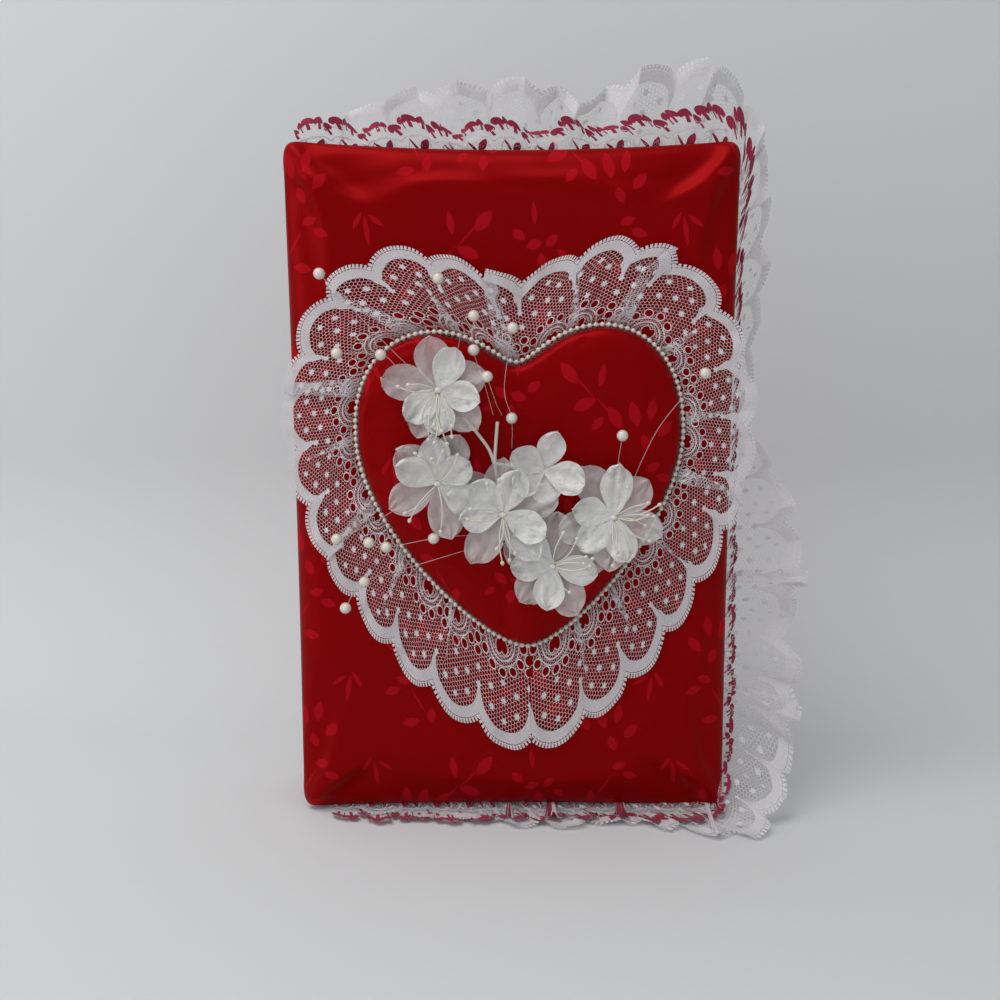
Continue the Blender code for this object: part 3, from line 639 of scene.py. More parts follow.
# %% Drawing tools for thread
class Drawing:
    """Points, faces and dye of one flat repeat of lace, in millimetres."""

    def __init__(self):
        self.points = []
        self.faces = []
        self.dye = []

    def add(self, points, faces, rise, dye):
        base = len(self.points)
        self.points += [(u, v, rise) for u, v in points]
        self.faces += [tuple(base + i for i in face) for face in faces]
        self.dye += [dye] * len(points)

    def thread(self, a, b, width, rise=0.0, dye=0.0):
        length = hypot(b[0] - a[0], b[1] - a[1])
        if length < 1e-6:
            return
        x, y = -(b[1] - a[1]) / length * width / 2, (b[0] - a[0]) / length * width / 2
        self.add([(a[0] - x, a[1] - y), (b[0] - x, b[1] - y), (b[0] + x, b[1] + y),
                  (a[0] + x, a[1] + y)], [(0, 1, 2, 3)], rise, dye)

    def cord(self, path, width, rise=0.0, dye=0.0, closed=False):
        """A ribbon along a path, with shared corners."""
        count = len(path)
        edges = []
        for i, (u, v) in enumerate(path):
            a = path[(i - 1) % count] if closed or i else path[0]
            b = path[(i + 1) % count] if closed or i < count - 1 else path[-1]
            length = hypot(b[0] - a[0], b[1] - a[1]) or 1
            x, y = -(b[1] - a[1]) / length * width / 2, (b[0] - a[0]) / length * width / 2
            edges += [(u - x, v - y), (u + x, v + y)]
        faces = [(2 * i, 2 * i + 2, 2 * i + 3, 2 * i + 1) for i in range(count - 1)]
        if closed:
            faces.append((2 * count - 2, 0, 1, 2 * count - 1))
        self.add(edges, faces, rise, dye)

    def star(self, u, v, radius, petals, rise=0.0, dye=0.0):
        rim = []
        for i in range(2 * petals):
            reach = radius if i % 2 == 0 else radius * 0.55
            rim.append((u + reach * cos(pi * i / petals), v + reach * sin(pi * i / petals)))
        faces = [(0, i + 1, (i + 1) % (2 * petals) + 1) for i in range(2 * petals)]
        self.add([(u, v)] + rim, faces, rise, dye)

    def net(self, repeat, columns, low, high, width, inside, rise=0.0, dye=0.0):
        """Six-sided holes in columns, kept where inside(u, v) is true."""
        step = repeat / columns
        pitch = step / 0.866
        side = pitch / sqrt(3)
        for c in range(columns):
            shift = 0.5 * pitch if c % 2 else 0.0
            for r in range(int(low / pitch) - 1, int(high / pitch) + 2):
                u, v = c * step, r * pitch + shift
                right = (u + side / 2, v + pitch / 2)
                left = (u - side / 2, v + pitch / 2)
                corner = (u + side, v)
                below = (u + side / 2, v - pitch / 2)
                for a, b in ((left, right), (right, corner), (corner, below)):
                    if inside(((a[0] + b[0]) / 2) % repeat, (a[1] + b[1]) / 2):
                        self.thread(a, b, width, rise, dye)


# %% One repeat of the white lace
REPEAT = 33.0
LACE_WIDTH = 57.4
CROWN = 54.0
SCALLOP_RADIUS = 20.7


def scallop(u):
    """Outer edge of the dense band over one repeat."""
    d = (u % REPEAT) - REPEAT / 2
    return CROWN - SCALLOP_RADIUS + sqrt(SCALLOP_RADIUS ** 2 - d * d)


def band_foot(u):
    """Inner edge of the dense band, with a long point under each cusp."""
    d = abs((u % REPEAT) - REPEAT / 2)
    if d < 15.0:
        return 35.6 + 13.0 * sqrt(1 - (d / 15.0) ** 2)
    return 35.6 - (d - 15.0) * 1.9


def arch(u, v, size):
    """Below 1 inside the arch of rings that stands on the gathered edge."""
    return hypot((u - REPEAT / 2) / (13.6 * size), (v - 5.0) / (14.6 * size))


def white_unit(start):
    """The repeat from v = start to the picots."""
    made = Drawing()
    rings = []
    for i in range(7):
        turn = radians(4 + 172 * i / 6)
        rings.append((REPEAT / 2 + 13.6 * cos(turn), 5.0 + 14.6 * sin(turn)))
    rings += [(0.0, 10.5), (0.0, 16.0)]

    def in_ring(u, v, grow=0.0):
        return any(hypot(min(abs(u - x), REPEAT - abs(u - x)), v - y) < 2.2 + grow
                   for x, y in rings)

    def in_heart(u, v):
        x, y = (u - REPEAT / 2) / 3.9, (v - 6.2) / 3.9
        return x * x + (y - 0.62 * sqrt(abs(x))) ** 2 < 1.0

    def wide_net(u, v):
        return (start <= v < band_foot(u) + 0.3 and arch(u, v, 1.0) > 1.0
                and not in_ring(u, v))

    def fine_net(u, v):
        return (start <= v and arch(u, v, 0.97) < 1.0 and not in_ring(u, v)
                and not in_heart(u, v))

    made.net(REPEAT, 18, start, 50, 0.20, wide_net)
    made.net(REPEAT, 26, start, 20, 0.20, fine_net)
    for u, v in ((16.5, 43.6), (8.2, 39.0), (24.7, 39.0), (16.5, 33.6), (8.2, 29.2), (24.7, 29.2),
                 (0.0, 32.2), (0.0, 24.0), (16.5, 24.6)):
        made.star(u, v, 2.2, 6, 0.06)
    for x, y in rings:
        circle = [(x + 2.35 * cos(2 * pi * i / 14), y + 2.35 * sin(2 * pi * i / 14))
                  for i in range(14)]
        if y - 2.4 > start:
            made.cord(circle, 0.52, 0.12, closed=True)
    for size, width in ((0.80, 0.55), (0.62, 0.8), (0.50, 0.4)):
        path = []
        for i in range(25):
            turn = radians(-4 + 188 * i / 24)
            path.append((REPEAT / 2 + 13.6 * size * cos(turn), 5.0 + 14.6 * size * sin(turn)))
        path = [p for p in path if p[1] > start]
        if len(path) > 2:
            made.cord(path, width, 0.10)
    heart = []
    for i in range(20):
        turn = 2 * pi * i / 20
        x = sin(turn)
        heart.append((REPEAT / 2 + 3.9 * x, 6.2 + 3.9 * (cos(turn) + 0.62 * sqrt(abs(x)))))
    if start < 2:
        made.cord(heart, 0.5, 0.12, closed=True)

    columns = 60
    for c in range(columns):
        edge = []
        for u in (REPEAT * (c + 0.05) / columns, REPEAT * (c + 0.95) / columns):
            foot, top = band_foot(u), scallop(u)
            for share in (0.0, 0.35, 0.7, 1.0):
                edge.append((u, foot + (top - foot) * share))
        made.add(edge, grid_faces(2, 4), 0.05, 0.0)
    rim = [(REPEAT * i / 40, scallop(REPEAT * i / 40) + 0.72) for i in range(41)]
    made.cord(rim, 0.42, 0.05)
    teeth = 20
    for i in range(teeth):
        u = REPEAT * (i + 0.5) / teeth
        slope = (scallop(u + 0.1) - scallop(u - 0.1)) / 0.2
        slope = max(min(slope, 0.9), -0.9)
        length = hypot(slope, 1)
        nu, nv = -slope / length, 1 / length
        root = scallop(u)
        made.thread((u, root - 0.1), (u + nu * 0.7, root + nv * 0.7), 0.45, 0.05)
        made.cord([(u + nu * 0.8, root + nv * 0.8), (u + nu * 1.7, root + nv * 1.7),
                   (u + nu * 2.6, root + nv * 2.6)], 1.28, 0.06)
    return made


def flat_area(drawing):
    """Area of the drawn thread in square millimetres."""
    total = 0.0
    for face in drawing.faces:
        ring = [drawing.points[i] for i in face]
        total += abs(sum(a[0] * b[1] - b[0] * a[1] for a, b in zip(ring, ring[1:] + ring[:1]))) / 2
    return total


WHITE_UNIT = white_unit(0.0)
print("white repeat:", len(WHITE_UNIT.faces), "faces,", round(flat_area(WHITE_UNIT)), "of",
      round(REPEAT * LACE_WIDTH), "square mm is thread")

# %% [markdown]
# The thread is bright cotton and nylon. Its shader is mostly matt with a soft sheen, and a little
# light passes through. The dye attribute, 0 or 1 on each point, picks white or crimson. Cells on
# the lace's own UV map raise the close stitches of the dense parts, and the colour is painted
# darker towards the sunken gaps between the cells: painted shade in the stitches' hollows.

# %% Lace thread
def thread_material(name, pale, dark):
    made = plain_material(name, pale, 0.75)
    tree, add = node_tools(made)[:2]
    shader = tree.nodes["Principled BSDF"]
    where = add("ShaderNodeUVMap", uv_map="flat_lace")
    stitch_relief_and_shade = add("ShaderNodeTexVoronoi")
    stitch_relief_and_shade.inputs["Scale"].default_value = 1.9
    tree.links.new(where.outputs[0], stitch_relief_and_shade.inputs["Vector"])
    # Painted shade: white goes down to 0.8 and crimson to 0.6 of its colour towards the gaps
    # between stitches, where the bump sinks.
    shade = add("ShaderNodeMapRange")
    shade.inputs["From Max"].default_value = 0.6
    tree.links.new(stitch_relief_and_shade.outputs["Distance"], shade.inputs["Value"])
    white = mix_colours(tree, add, shade.outputs[0], pale, tuple(0.80 * c for c in pale))
    crimson = mix_colours(tree, add, shade.outputs[0], dark, tuple(0.6 * c for c in dark))
    dye = add("ShaderNodeAttribute", attribute_name="dye")
    colour = mix_colours(tree, add, dye.outputs["Fac"], white, crimson)
    tree.links.new(colour, shader.inputs["Base Color"])
    bump = add("ShaderNodeBump")
    bump.inputs["Strength"].default_value = 0.35
    bump.inputs["Distance"].default_value = 0.0002
    bump.invert = True
    tree.links.new(stitch_relief_and_shade.outputs["Distance"], bump.inputs["Height"])
    tree.links.new(bump.outputs[0], shader.inputs["Normal"])
    shader.inputs["Sheen Weight"].default_value = 0.15
    through = add("ShaderNodeBsdfTranslucent")
    tree.links.new(colour, through.inputs["Color"])
    both = add("ShaderNodeMixShader")
    both.inputs[0].default_value = 0.15
    tree.links.new(shader.outputs[0], both.inputs[1])
    tree.links.new(through.outputs[0], both.inputs[2])
    tree.links.new(both.outputs[0], tree.nodes["Material Output"].inputs["Surface"])
    return made


LACE_THREAD = thread_material("white_lace_thread", (0.91, 0.88, 0.91), (0.50, 0.014, 0.080))

# %% [markdown]
# A ruffle is one long strip, gathered along its inner edge. Its surface is ruled between an inner
# and an outer curve, and then it is moved: waves that grow towards the free edge, and pleats where
# the strip turns back under itself. A pleat is a stretch of the strip that runs backwards along
# the curve while it climbs. The surface is hidden. Geometry Nodes set the flat repeats in a row
# and carry every point to the surface, by looking its u and v up in the surface's UV map.

# %% Ruffle surface and the tree that weaves it
def along_curve(points, shares):
    """Points at the given shares of a polyline's length."""
    points = np.array(points, float)
    steps = np.linalg.norm(np.diff(points, axis=0), axis=1)
    place = np.concatenate([[0], np.cumsum(steps)])
    place /= place[-1]
    shares = np.clip(shares, 0, 1)
    return np.stack([np.interp(shares, place, points[:, k]) for k in range(3)], axis=-1)


def smooth_curve(points, steps=12):
    """A smooth line through points."""
    points = [np.array(p, float) for p in points]
    done = []
    for i in range(len(points) - 1):
        a, b = points[max(i - 1, 0)], points[i]
        c, d = points[i + 1], points[min(i + 2, len(points) - 1)]
        for k in range(steps):
            t = k / steps
            done.append(0.5 * (2 * b + (c - a) * t + (2 * a - 5 * b + 4 * c - d) * t * t
                               + (3 * b - a - 3 * c + d) * t ** 3))
    done.append(points[-1])
    return np.array(done)


def strip_shares(length, rows, pleats, samples):
    """For each row across, the share of the curve that each place along the strip reaches."""
    x = np.linspace(0, length, samples)
    shares, climbs = [], []
    for v in rows:
        slope = np.ones(samples)
        climb = np.zeros(samples)
        for place, inner, outer, rise in pleats:
            back = inner + (outer - inner) * v
            if back < 0.3:
                continue
            a, b = place - back / 2, place + back / 2
            slope -= 2 * smooth_step(a - 0.6, a + 0.6, x) * (1 - smooth_step(b - 0.6, b + 0.6, x))
            height = rise * min(1, back / 3.0)
            climb += height * (smooth_step(a - 1.5, b + 1.5, x) - smooth_step(b + 3, b + 26, x))
        run = np.concatenate([[0], np.cumsum((slope[1:] + slope[:-1]) / 2)])
        shares.append(run / run[-1])
        climbs.append(climb)
    return np.array(shares), np.array(climbs)


def ruffle_surface(name, curves, levels, length, pleats, shape, per_mm=1.0, rows=42):
    """curves run along the strip at the given levels across it; shape moves each point."""
    samples = int(length * per_mm) + 1
    across = np.linspace(0, 1, rows)
    shares, climbs = strip_shares(length, across, pleats, samples)
    grid = np.zeros((rows, samples, 3))
    for r, v in enumerate(across):
        lines = [along_curve(curve, shares[r]) for curve in curves]
        for axis in range(3):
            stack = np.array([line[:, axis] for line in lines])
            k = np.searchsorted(levels, v, side="right") - 1
            k = min(max(k, 0), len(levels) - 2)
            t = (v - levels[k]) / (levels[k + 1] - levels[k])
            a, b = stack[k], stack[k + 1]
            before = stack[k - 1] if k else 2 * a - b
            after = stack[k + 2] if k + 2 < len(levels) else 2 * b - a
            near = levels[k - 1] if k else 2 * levels[0] - levels[1]
            ga = (b - before) / (levels[k + 1] - near)
            far = levels[k + 2] if k + 2 < len(levels) else 2 * levels[-1] - levels[-2]
            gb = (after - a) / (far - levels[k])
            h = levels[k + 1] - levels[k]
            grid[r, :, axis] = ((2 * t ** 3 - 3 * t ** 2 + 1) * a
                                + (t ** 3 - 2 * t ** 2 + t) * h * ga
                                + (3 * t ** 2 - 2 * t ** 3) * b + (t ** 3 - t ** 2) * h * gb)
    x = np.linspace(0, length, samples)
    grid = shape(grid, x, across, climbs, shares)
    made = make_object(name, grid.reshape(-1, 3), grid_faces(rows, samples))
    layer = made.data.uv_layers.new(name="strip")
    corner = np.zeros(len(made.data.loops), int)
    made.data.loops.foreach_get("vertex_index", corner)
    uv = np.stack([(corner % samples) / (samples - 1), (corner // samples) / (rows - 1)], axis=1)
    layer.data.foreach_set("uv", uv.ravel())
    made.hide_render = True
    return made


def lace_tree(material):
    """Row of repeats, carried to the ruffle's surface and given its thread."""
    tree = bpy.data.node_groups.new("lace_weaving", "GeometryNodeTree")
    face = tree.interface
    face.new_socket("Repeat", in_out="INPUT", socket_type="NodeSocketGeometry")
    face.new_socket("Surface", in_out="INPUT", socket_type="NodeSocketObject")
    face.new_socket("Count", in_out="INPUT", socket_type="NodeSocketInt")
    for name in ("Repeat Length", "First Repeat", "Strip Length", "Strip Start", "Strip Width"):
        face.new_socket(name, in_out="INPUT", socket_type="NodeSocketFloat")
    face.new_socket("Lace", in_out="OUTPUT", socket_type="NodeSocketGeometry")
    add, join = tree.nodes.new, tree.links.new
    begin, end = add("NodeGroupInput"), add("NodeGroupOutput")

    def math(operation, a, b):
        made = add("ShaderNodeMath")
        made.operation = operation
        join(a, made.inputs[0])
        if isinstance(b, float):
            made.inputs[1].default_value = b
        else:
            join(b, made.inputs[1])
        return made.outputs[0]

    def vector(x, y=None, z=None):
        made = add("ShaderNodeCombineXYZ")
        for number, value in enumerate((x, y, z)):
            if value is not None:
                join(value, made.inputs[number])
        return made.outputs[0]

    line = add("GeometryNodeMeshLine")
    join(begin.outputs["Count"], line.inputs["Count"])
    join(vector(begin.outputs["Repeat Length"]), line.inputs["Offset"])
    first = math("MULTIPLY", begin.outputs["Repeat Length"], begin.outputs["First Repeat"])
    join(vector(first), line.inputs["Start Location"])
    place = add("GeometryNodeInstanceOnPoints")
    join(line.outputs[0], place.inputs["Points"])
    join(begin.outputs["Repeat"], place.inputs["Instance"])
    real = add("GeometryNodeRealizeInstances")
    join(place.outputs[0], real.inputs[0])
    where = add("GeometryNodeInputPosition")
    part = add("ShaderNodeSeparateXYZ")
    join(where.outputs[0], part.inputs[0])
    u = math("DIVIDE", part.outputs[0], begin.outputs["Strip Length"])
    v = math("SUBTRACT", part.outputs[1], begin.outputs["Strip Start"])
    v = math("DIVIDE", v, begin.outputs["Strip Width"])
    u, v = (math("MINIMUM", math("MAXIMUM", value, 0.0001), 0.9999) for value in (u, v))
    target = vector(u, v)
    surface = add("GeometryNodeObjectInfo")
    join(begin.outputs["Surface"], surface.inputs["Object"])
    flat = add("GeometryNodeInputNamedAttribute")
    flat.data_type = "FLOAT_VECTOR"
    flat.inputs["Name"].default_value = "strip"
    found = []
    for source in ("GeometryNodeInputPosition", "GeometryNodeInputNormal"):
        sample = add("GeometryNodeSampleUVSurface")
        sample.data_type = "FLOAT_VECTOR"
        join(surface.outputs["Geometry"], sample.inputs["Mesh"])
        value = next(s for s in sample.inputs if s.name == "Value" and s.enabled)
        join(add(source).outputs[0], value)
        join(next(s for s in flat.outputs if s.enabled), sample.inputs["Source UV Map"])
        join(target, sample.inputs["Sample UV"])
        found.append(next(s for s in sample.outputs if s.name == "Value" and s.enabled))
    lift = add("ShaderNodeVectorMath")
    lift.operation = "SCALE"
    join(found[1], lift.inputs[0])
    join(math("MULTIPLY", part.outputs[2], MM), lift.inputs["Scale"])
    total = add("ShaderNodeVectorMath")
    join(found[0], total.inputs[0])
    join(lift.outputs[0], total.inputs[1])
    move = add("GeometryNodeSetPosition")
    join(real.outputs[0], move.inputs["Geometry"])
    join(total.outputs[0], move.inputs["Position"])
    finish = add("GeometryNodeSetMaterial")
    finish.inputs["Material"].default_value = material
    join(move.outputs[0], finish.inputs["Geometry"])
    join(finish.outputs[0], end.inputs["Lace"])
    return tree


def set_inputs(modifier, values):
    """Give a Geometry Nodes modifier its named inputs, by each socket's identifier."""
    sockets = {s.name: s.identifier for s in modifier.node_group.interface.items_tree
               if s.item_type == "SOCKET" and s.in_out == "INPUT"}
    for name, value in values.items():
        modifier[sockets[name]] = value


def weave(name, drawing, surface, first, count, repeat, length, start, width, tree):
    made = make_object(name, drawing.points, drawing.faces, smooth=False)
    dye = made.data.attributes.new("dye", "FLOAT", "POINT")
    dye.data.foreach_set("value", drawing.dye)
    layer = made.data.uv_layers.new(name="flat_lace")
    corner = np.zeros(len(made.data.loops), int)
    made.data.loops.foreach_get("vertex_index", corner)
    layer.data.foreach_set("uv", np.array(drawing.points)[corner, :2].ravel())
    weaving = made.modifiers.new("weaving", "NODES")
    weaving.node_group = tree
    set_inputs(weaving, {"Surface": surface, "Count": count, "Repeat Length": repeat,
                         "First Repeat": float(first), "Strip Length": length,
                         "Strip Start": start, "Strip Width": width})
    apply_modifiers(made)
    made.data.polygons.foreach_set("use_smooth", [True] * len(made.data.polygons))
    triangles = sum(len(p.vertices) - 2 for p in made.data.polygons)
    area = sum(p.area for p in made.data.polygons)
    print(name, triangles, "triangles,", round(area * 1e4), "square cm of thread, flat",
          round(flat_area(drawing) * count / 100))
    return made


LACE_TREE = lace_tree(LACE_THREAD)

# %% [markdown]
# The frill is a little under a metre of lace, gathered to the heart's edge and glued flat. Deep
# pleats lie where the gathers met, and its two ends lap over each other below the heart's tip.

# %% Frill round the heart
FRILL_REPEATS = 27
FRILL_LENGTH = FRILL_REPEATS * REPEAT
lace_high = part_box("heart_lace")[1]


def from_tip(outline):
    """The outline as a closed line that starts and ends at the tip."""
    tip = min(range(len(outline)), key=lambda i: outline[i][1])
    return outline[tip:] + outline[:tip + 1]


def frill_shape(grid, x, across, climbs, shares):
    rows, samples = grid.shape[:2]
    for r in range(rows):
        v = across[r]
        mm = v * LACE_WIDTH
        rise = 0.0003 + 0.0032 * smooth_step(5.5, 13, mm) * (1 - 0.72 * smooth_step(14, 50, mm))
        for c in range(samples):
            s = shares[r, c]
            a = 2 * pi * s
            near = Vector((3.2 * cos(a), 3.2 * sin(a), 0.4 * v))
            slow = noise.noise(near)
            quick = noise.noise(Vector((14 * cos(a), 14 * sin(a), 1.7 + 1.2 * v)))
            pucker = noise.noise(Vector((38 * cos(a), 38 * sin(a), 5.0 + 2.0 * v)))
            gathered = smooth_step(5.5, 10, mm) * (1 - smooth_step(12, 34, mm))
            wave = (0.0011 * (slow + 0.35) * smooth_step(0.25, 1.0, v)
                    + 0.0014 * (quick + 0.3) * smooth_step(5.5, 20, mm)
                    + 0.0016 * (pucker + 0.2) * gathered)
            lift = max(rise + wave, 0.0003) + climbs[r, c] * MM * smooth_step(4.5, 9, mm)
            grid[r, c, 1] -= lift
            swirl = 0.0011 * noise.noise(Vector((9 * cos(a), 9 * sin(a), 9.0 + 2 * v))) * v
            grid[r, c, 0] += swirl
            swirl = 0.0011 * noise.noise(Vector((9 * cos(a), 9 * sin(a), 19.0 + 2 * v))) * v
            grid[r, c, 2] += swirl
    return grid


# Place along the lace, width turned back at the inner and outer edge, and height, in mm
FRILL_PLEATS = [
    (58, 7, -4, 1.4), (112, 9, -2, 1.6), (165, 12, 3, 2.2), (222, 9, -3, 1.6), (271, 13, 6, 2.4),
    (338, 12, 1, 2.0), (385, 10, -3, 1.8), (438, 15, 6, 2.6), (500, 10, -2, 1.8),
    (548, 14, 4, 2.4), (600, 9, -4, 1.6), (655, 10, -2, 1.8), (706, 12, 2, 2.0), (760, 8, -4, 1.6),
    (812, 7, -3, 1.4), (852, 7, -3, 1.4),
]
level = lace_high.y + 0.0001
inner_edge = [on_heart(x, z, level) for x, z in from_tip(inset_outline(heart_outline(), 0.0022))]
outer_edge = [on_heart(x, z, level) for x, z in from_tip(frill_outline())]
frill_surface = ruffle_surface("frill_surface", [inner_edge, outer_edge], [0, 1], FRILL_LENGTH,
                               FRILL_PLEATS, frill_shape, 1.2)
half = FRILL_REPEATS // 2
thread_share = flat_area(WHITE_UNIT) / (REPEAT * LACE_WIDTH)
for name, first, count in (("heart_frill_left", 0, half + 1),
                           ("heart_frill_right", half + 1, half)):
    piece = weave(name, WHITE_UNIT, frill_surface, first, count, REPEAT, FRILL_LENGTH, 0.0,
                  LACE_WIDTH, LACE_TREE)
    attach(piece, "front_cover")
    if first == 0:
        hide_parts("heart_lace")
bpy.data.objects.remove(frill_surface)

# %% [markdown]
# Two more laces are sewn between the front cover and its lining, round the top, the open side and
# the foot. The wide one is the same white lace; its gathered edge is in the seam. It stands in
# deep flutes that lean back, and where it meets the table it turns forward under the cover.
# Its surface runs from the seam through a middle line to a free edge, and each line is smooth.

# %% Wide white lace behind the cover
WIDE_START = 11.0
WIDE_UNIT = white_unit(WIDE_START)
SEAM_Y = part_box("front_lining_satin")[1].y - 0.0005
right, top, foot = cover_high.x, cover_high.z, cover_low.z

# Each line: seam x, seam z, then the free edge's x, y, z, in mm
WIDE_STATIONS = [
    (-104, 355.5, -112, 7, 377), (-92, 355.5, -97, 11, 383), (-76, 355.5, -74, 8, 391),
    (-58, 355.5, -57, 5, 395), (-38, 355.5, -36, 4, 394), (-18, 355.5, -18, 2, 397),
    (2, 355.5, 3, 4, 395), (20, 355.5, 22, 12, 386), (34, 355.5, 36, 4, 397),
    (56, 355.5, 62, 1, 404), (76, 355.5, 86, 4, 406), (90, 354.5, 103, 10, 392),
    (92.5, 349, 115, 17, 374), (92.5, 338, 122, 26, 352), (92.5, 318, 123, 31, 324),
    (92.5, 298, 124, 33, 300), (92.5, 276, 121, 34, 276), (92.5, 254, 118, 34, 252),
    (92.5, 234, 117, 32, 228), (92.5, 216, 118, 26, 208), (92.5, 198, 128, 12, 190),
    (92.5, 180, 138, 4, 170), (92.5, 158, 143, 1, 146), (92.5, 134, 145, 0, 124),
    (92.5, 112, 140, 5, 103), (92.5, 90, 144, 0, 80), (92.5, 66, 143, -6, 54),
    (92.5, 40, 139, -14, 30), (92.5, 20, 133, -28, 13), (91, 10, 120, -46, 3),
    (84, 9, 104, -56, 1), (68, 9, 78, -46, 0.8), (48, 9, 50, -36, 0.8), (24, 9, 24, -37, 0.8),
    (0, 9, -2, -40, 0.8), (-24, 9, -26, -34, 0.8), (-50, 9, -52, -30, 0.8),
    (-78, 9, -80, -24, 0.8), (-104, 9, -108, -14, 0.8),
]


def lace_lines(stations, bulge, lift):
    """Seam, middle and free lines from stations; the middle bulges back from the straight."""
    seam, middle, free = [], [], []
    for sx, sz, fx, fy, fz in stations:
        a = Vector((sx * MM, SEAM_Y - lift, sz * MM))
        b = Vector((fx * MM, fy * MM, fz * MM))
        m = a.lerp(b, 0.45)
        if sz < 10:
            m = Vector((a.x * 0.6 + b.x * 0.4, a.y * 0.66 + b.y * 0.34, 0.0010))
            if sx > 88:
                m = Vector((a.x * 0.55 + b.x * 0.45, m.y, 0.004))
        else:
            m.y += bulge
        seam.append(a)
        middle.append(m)
        free.append(b)
    return [smooth_curve(line) for line in (seam, middle, free)]


def flute_shape(flutes, depth, sway, seed, thickness):
    """Waves that grow to the free edge, kept above the table and behind the cover's face."""
    def shape(grid, x, across, climbs, shares):
        rows, samples = grid.shape[:2]
        free = grid[-1]
        along = np.gradient(free, axis=0)
        along /= np.maximum(np.linalg.norm(along, axis=1, keepdims=True), 1e-9)
        for c in range(samples):
            s = shares[-1, c]
            turn = 2 * pi * flutes * s + 2.4 * noise.noise(Vector((s * 9, seed, 0.3)))
            size = depth * (0.75 + 0.7 * noise.noise(Vector((s * 14, seed, 5.1))))
            on_table = 1 - smooth_step(0.004, 0.030, free[c][2])
            for r in range(rows):
                v = across[r]
                grow = v ** 1.2
                wave = size * grow * sin(turn)
                fine = 0.0009 * noise.noise(Vector((x[c] * 0.16, v * 5, seed)))
                fine += 0.0022 * noise.noise(Vector((x[c] * 0.05, v * 2.2, seed + 3))) * v
                p = grid[r, c]
                p += along[c] * (sway * grow * sin(2 * turn + 0.6))
                p[1] += (wave + fine) * (1 - 0.75 * on_table) - climbs[r, c] * MM * v
                p[2] += on_table * (abs(wave) * 0.45 + abs(fine)) + 0.3 * abs(fine) * v
                p[2] = max(p[2], 0.0004 + thickness)
                if p[0] < right - 0.0005 and foot < p[2] < top:
                    p[1] = min(max(p[1], SEAM_Y - 0.0006), SEAM_Y + 0.0004)
        return grid
    return shape


WIDE_REPEATS = 34
WIDE_LENGTH = WIDE_REPEATS * REPEAT
WIDE_PLEATS = [(150, 8, 2, 0.6), (262, 10, 5, 0.8), (330, 9, 3, 0.6), (505, 9, 4, 0.8),
               (640, 12, 9, 0.8), (742, 9, 4, 0.6), (905, 8, 3, 0.5), (1010, 8, 2, 0.5)]
wide_surface = ruffle_surface("wide_surface", lace_lines(WIDE_STATIONS, 0.003, 0.0), [0, 0.45, 1],
                              WIDE_LENGTH, WIDE_PLEATS,
                              flute_shape(24, 0.0075, 0.0022, 2.0, 0.0), 0.9)
wide_share = flat_area(WIDE_UNIT) / (REPEAT * (LACE_WIDTH - WIDE_START))
for name, first, count in (("wide_lace_top", 0, 11), ("wide_lace_side", 11, 13),
                           ("wide_lace_foot", 24, 10)):
    piece = weave(name, WIDE_UNIT, wide_surface, first, count, REPEAT, WIDE_LENGTH, WIDE_START,
                  LACE_WIDTH - WIDE_START, LACE_TREE)
    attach(piece, "front_cover")
    if first == 0:
        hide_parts("white_lace_trim")
bpy.data.objects.remove(wide_surface)

# %% [markdown]
# The narrow lace in front of it is white net with crimson thread: small caps on stems along its
# scallops, and a pair of leaves in each scallop. It is drawn in the same way, with crimson dye.

# %% Narrow red and white lace
RED_REPEAT = 20.0
RED_WIDTH = 25.5
CAPS = [(10.0, 21.4), (5.0, 20.4), (15.0, 20.4), (0.0, 16.8)]


def red_unit():
    made = Drawing()

    def rim(u):
        d = abs((u % RED_REPEAT) - 10)
        return 19.6 - 4.6 * (d / 10) ** 2.2

    def white_net(u, v):
        return 0 <= v < rim(u)

    made.net(RED_REPEAT, 15, 0, 24, 0.16, white_net)
    edge = [(RED_REPEAT * i / 24, rim(RED_REPEAT * i / 24)) for i in range(25)]
    made.cord(edge, 0.6, 0.06)
    made.cord([(u, v - 6.4 + 0.9 * cos(u * pi / 10)) for u, v in edge], 0.6, 0.06)
    for u, v in CAPS:
        lean = (u - 10) / 10 * 0.35
        side = Vector((cos(lean), -sin(lean)))
        out = Vector((sin(lean), cos(lean)))
        place = Vector((u, v))

        def at(a, b):
            return tuple(place + side * a + out * b)

        cap = [at(2.9 * cos(radians(t)), 3.4 * max(sin(radians(t)), 0)) for t in range(0, 181, 20)]
        cap += [at(-1.9, -1.3), at(-0.6, -0.3), at(0.6, -0.3), at(1.9, -1.3)]
        made.add([at(0, 0.7)] + cap, [(0, i + 1, (i + 1) % len(cap) + 1) for i in range(len(cap))],
                 0.12, 1.0)
        made.cord([at(0, 0), at(0.1, -1.9), at(0, -4.0)], 1.5, 0.12, 1.0)
        made.cord([at(2.7 * cos(radians(t)), 3.1 * max(sin(radians(t)), -0.2))
                   for t in range(-10, 191, 25)], 0.45, 0.04)
    for lean in (-1, 1):
        leaf = []
        for i in range(13):
            t = i / 12
            leaf.append((10 + lean * (0.6 + 4.2 * t), 3.6 + 7.4 * t, 2.3 * sin(pi * t) ** 0.8))
        low = [(u + 0.75 * w, v - 0.5 * w * lean * lean) for u, v, w in leaf]
        high = [(u - 0.75 * w, v + 0.5 * w) for u, v, w in leaf]
        made.add(low + high, [(i, i + 1, i + 14, i + 13) for i in range(12)], 0.12, 1.0)
    made.cord([(3.0, 3.0), (10.0, 1.8), (17.0, 3.0)], 0.8, 0.1, 1.0)
    arc = [radians(t) for t in range(0, 181, 20)]
    made.cord([(10 + 6.4 * cos(t), 6.4 + 6.6 * sin(t)) for t in arc], 0.6, 0.08)
    return made


RED_UNIT = red_unit()
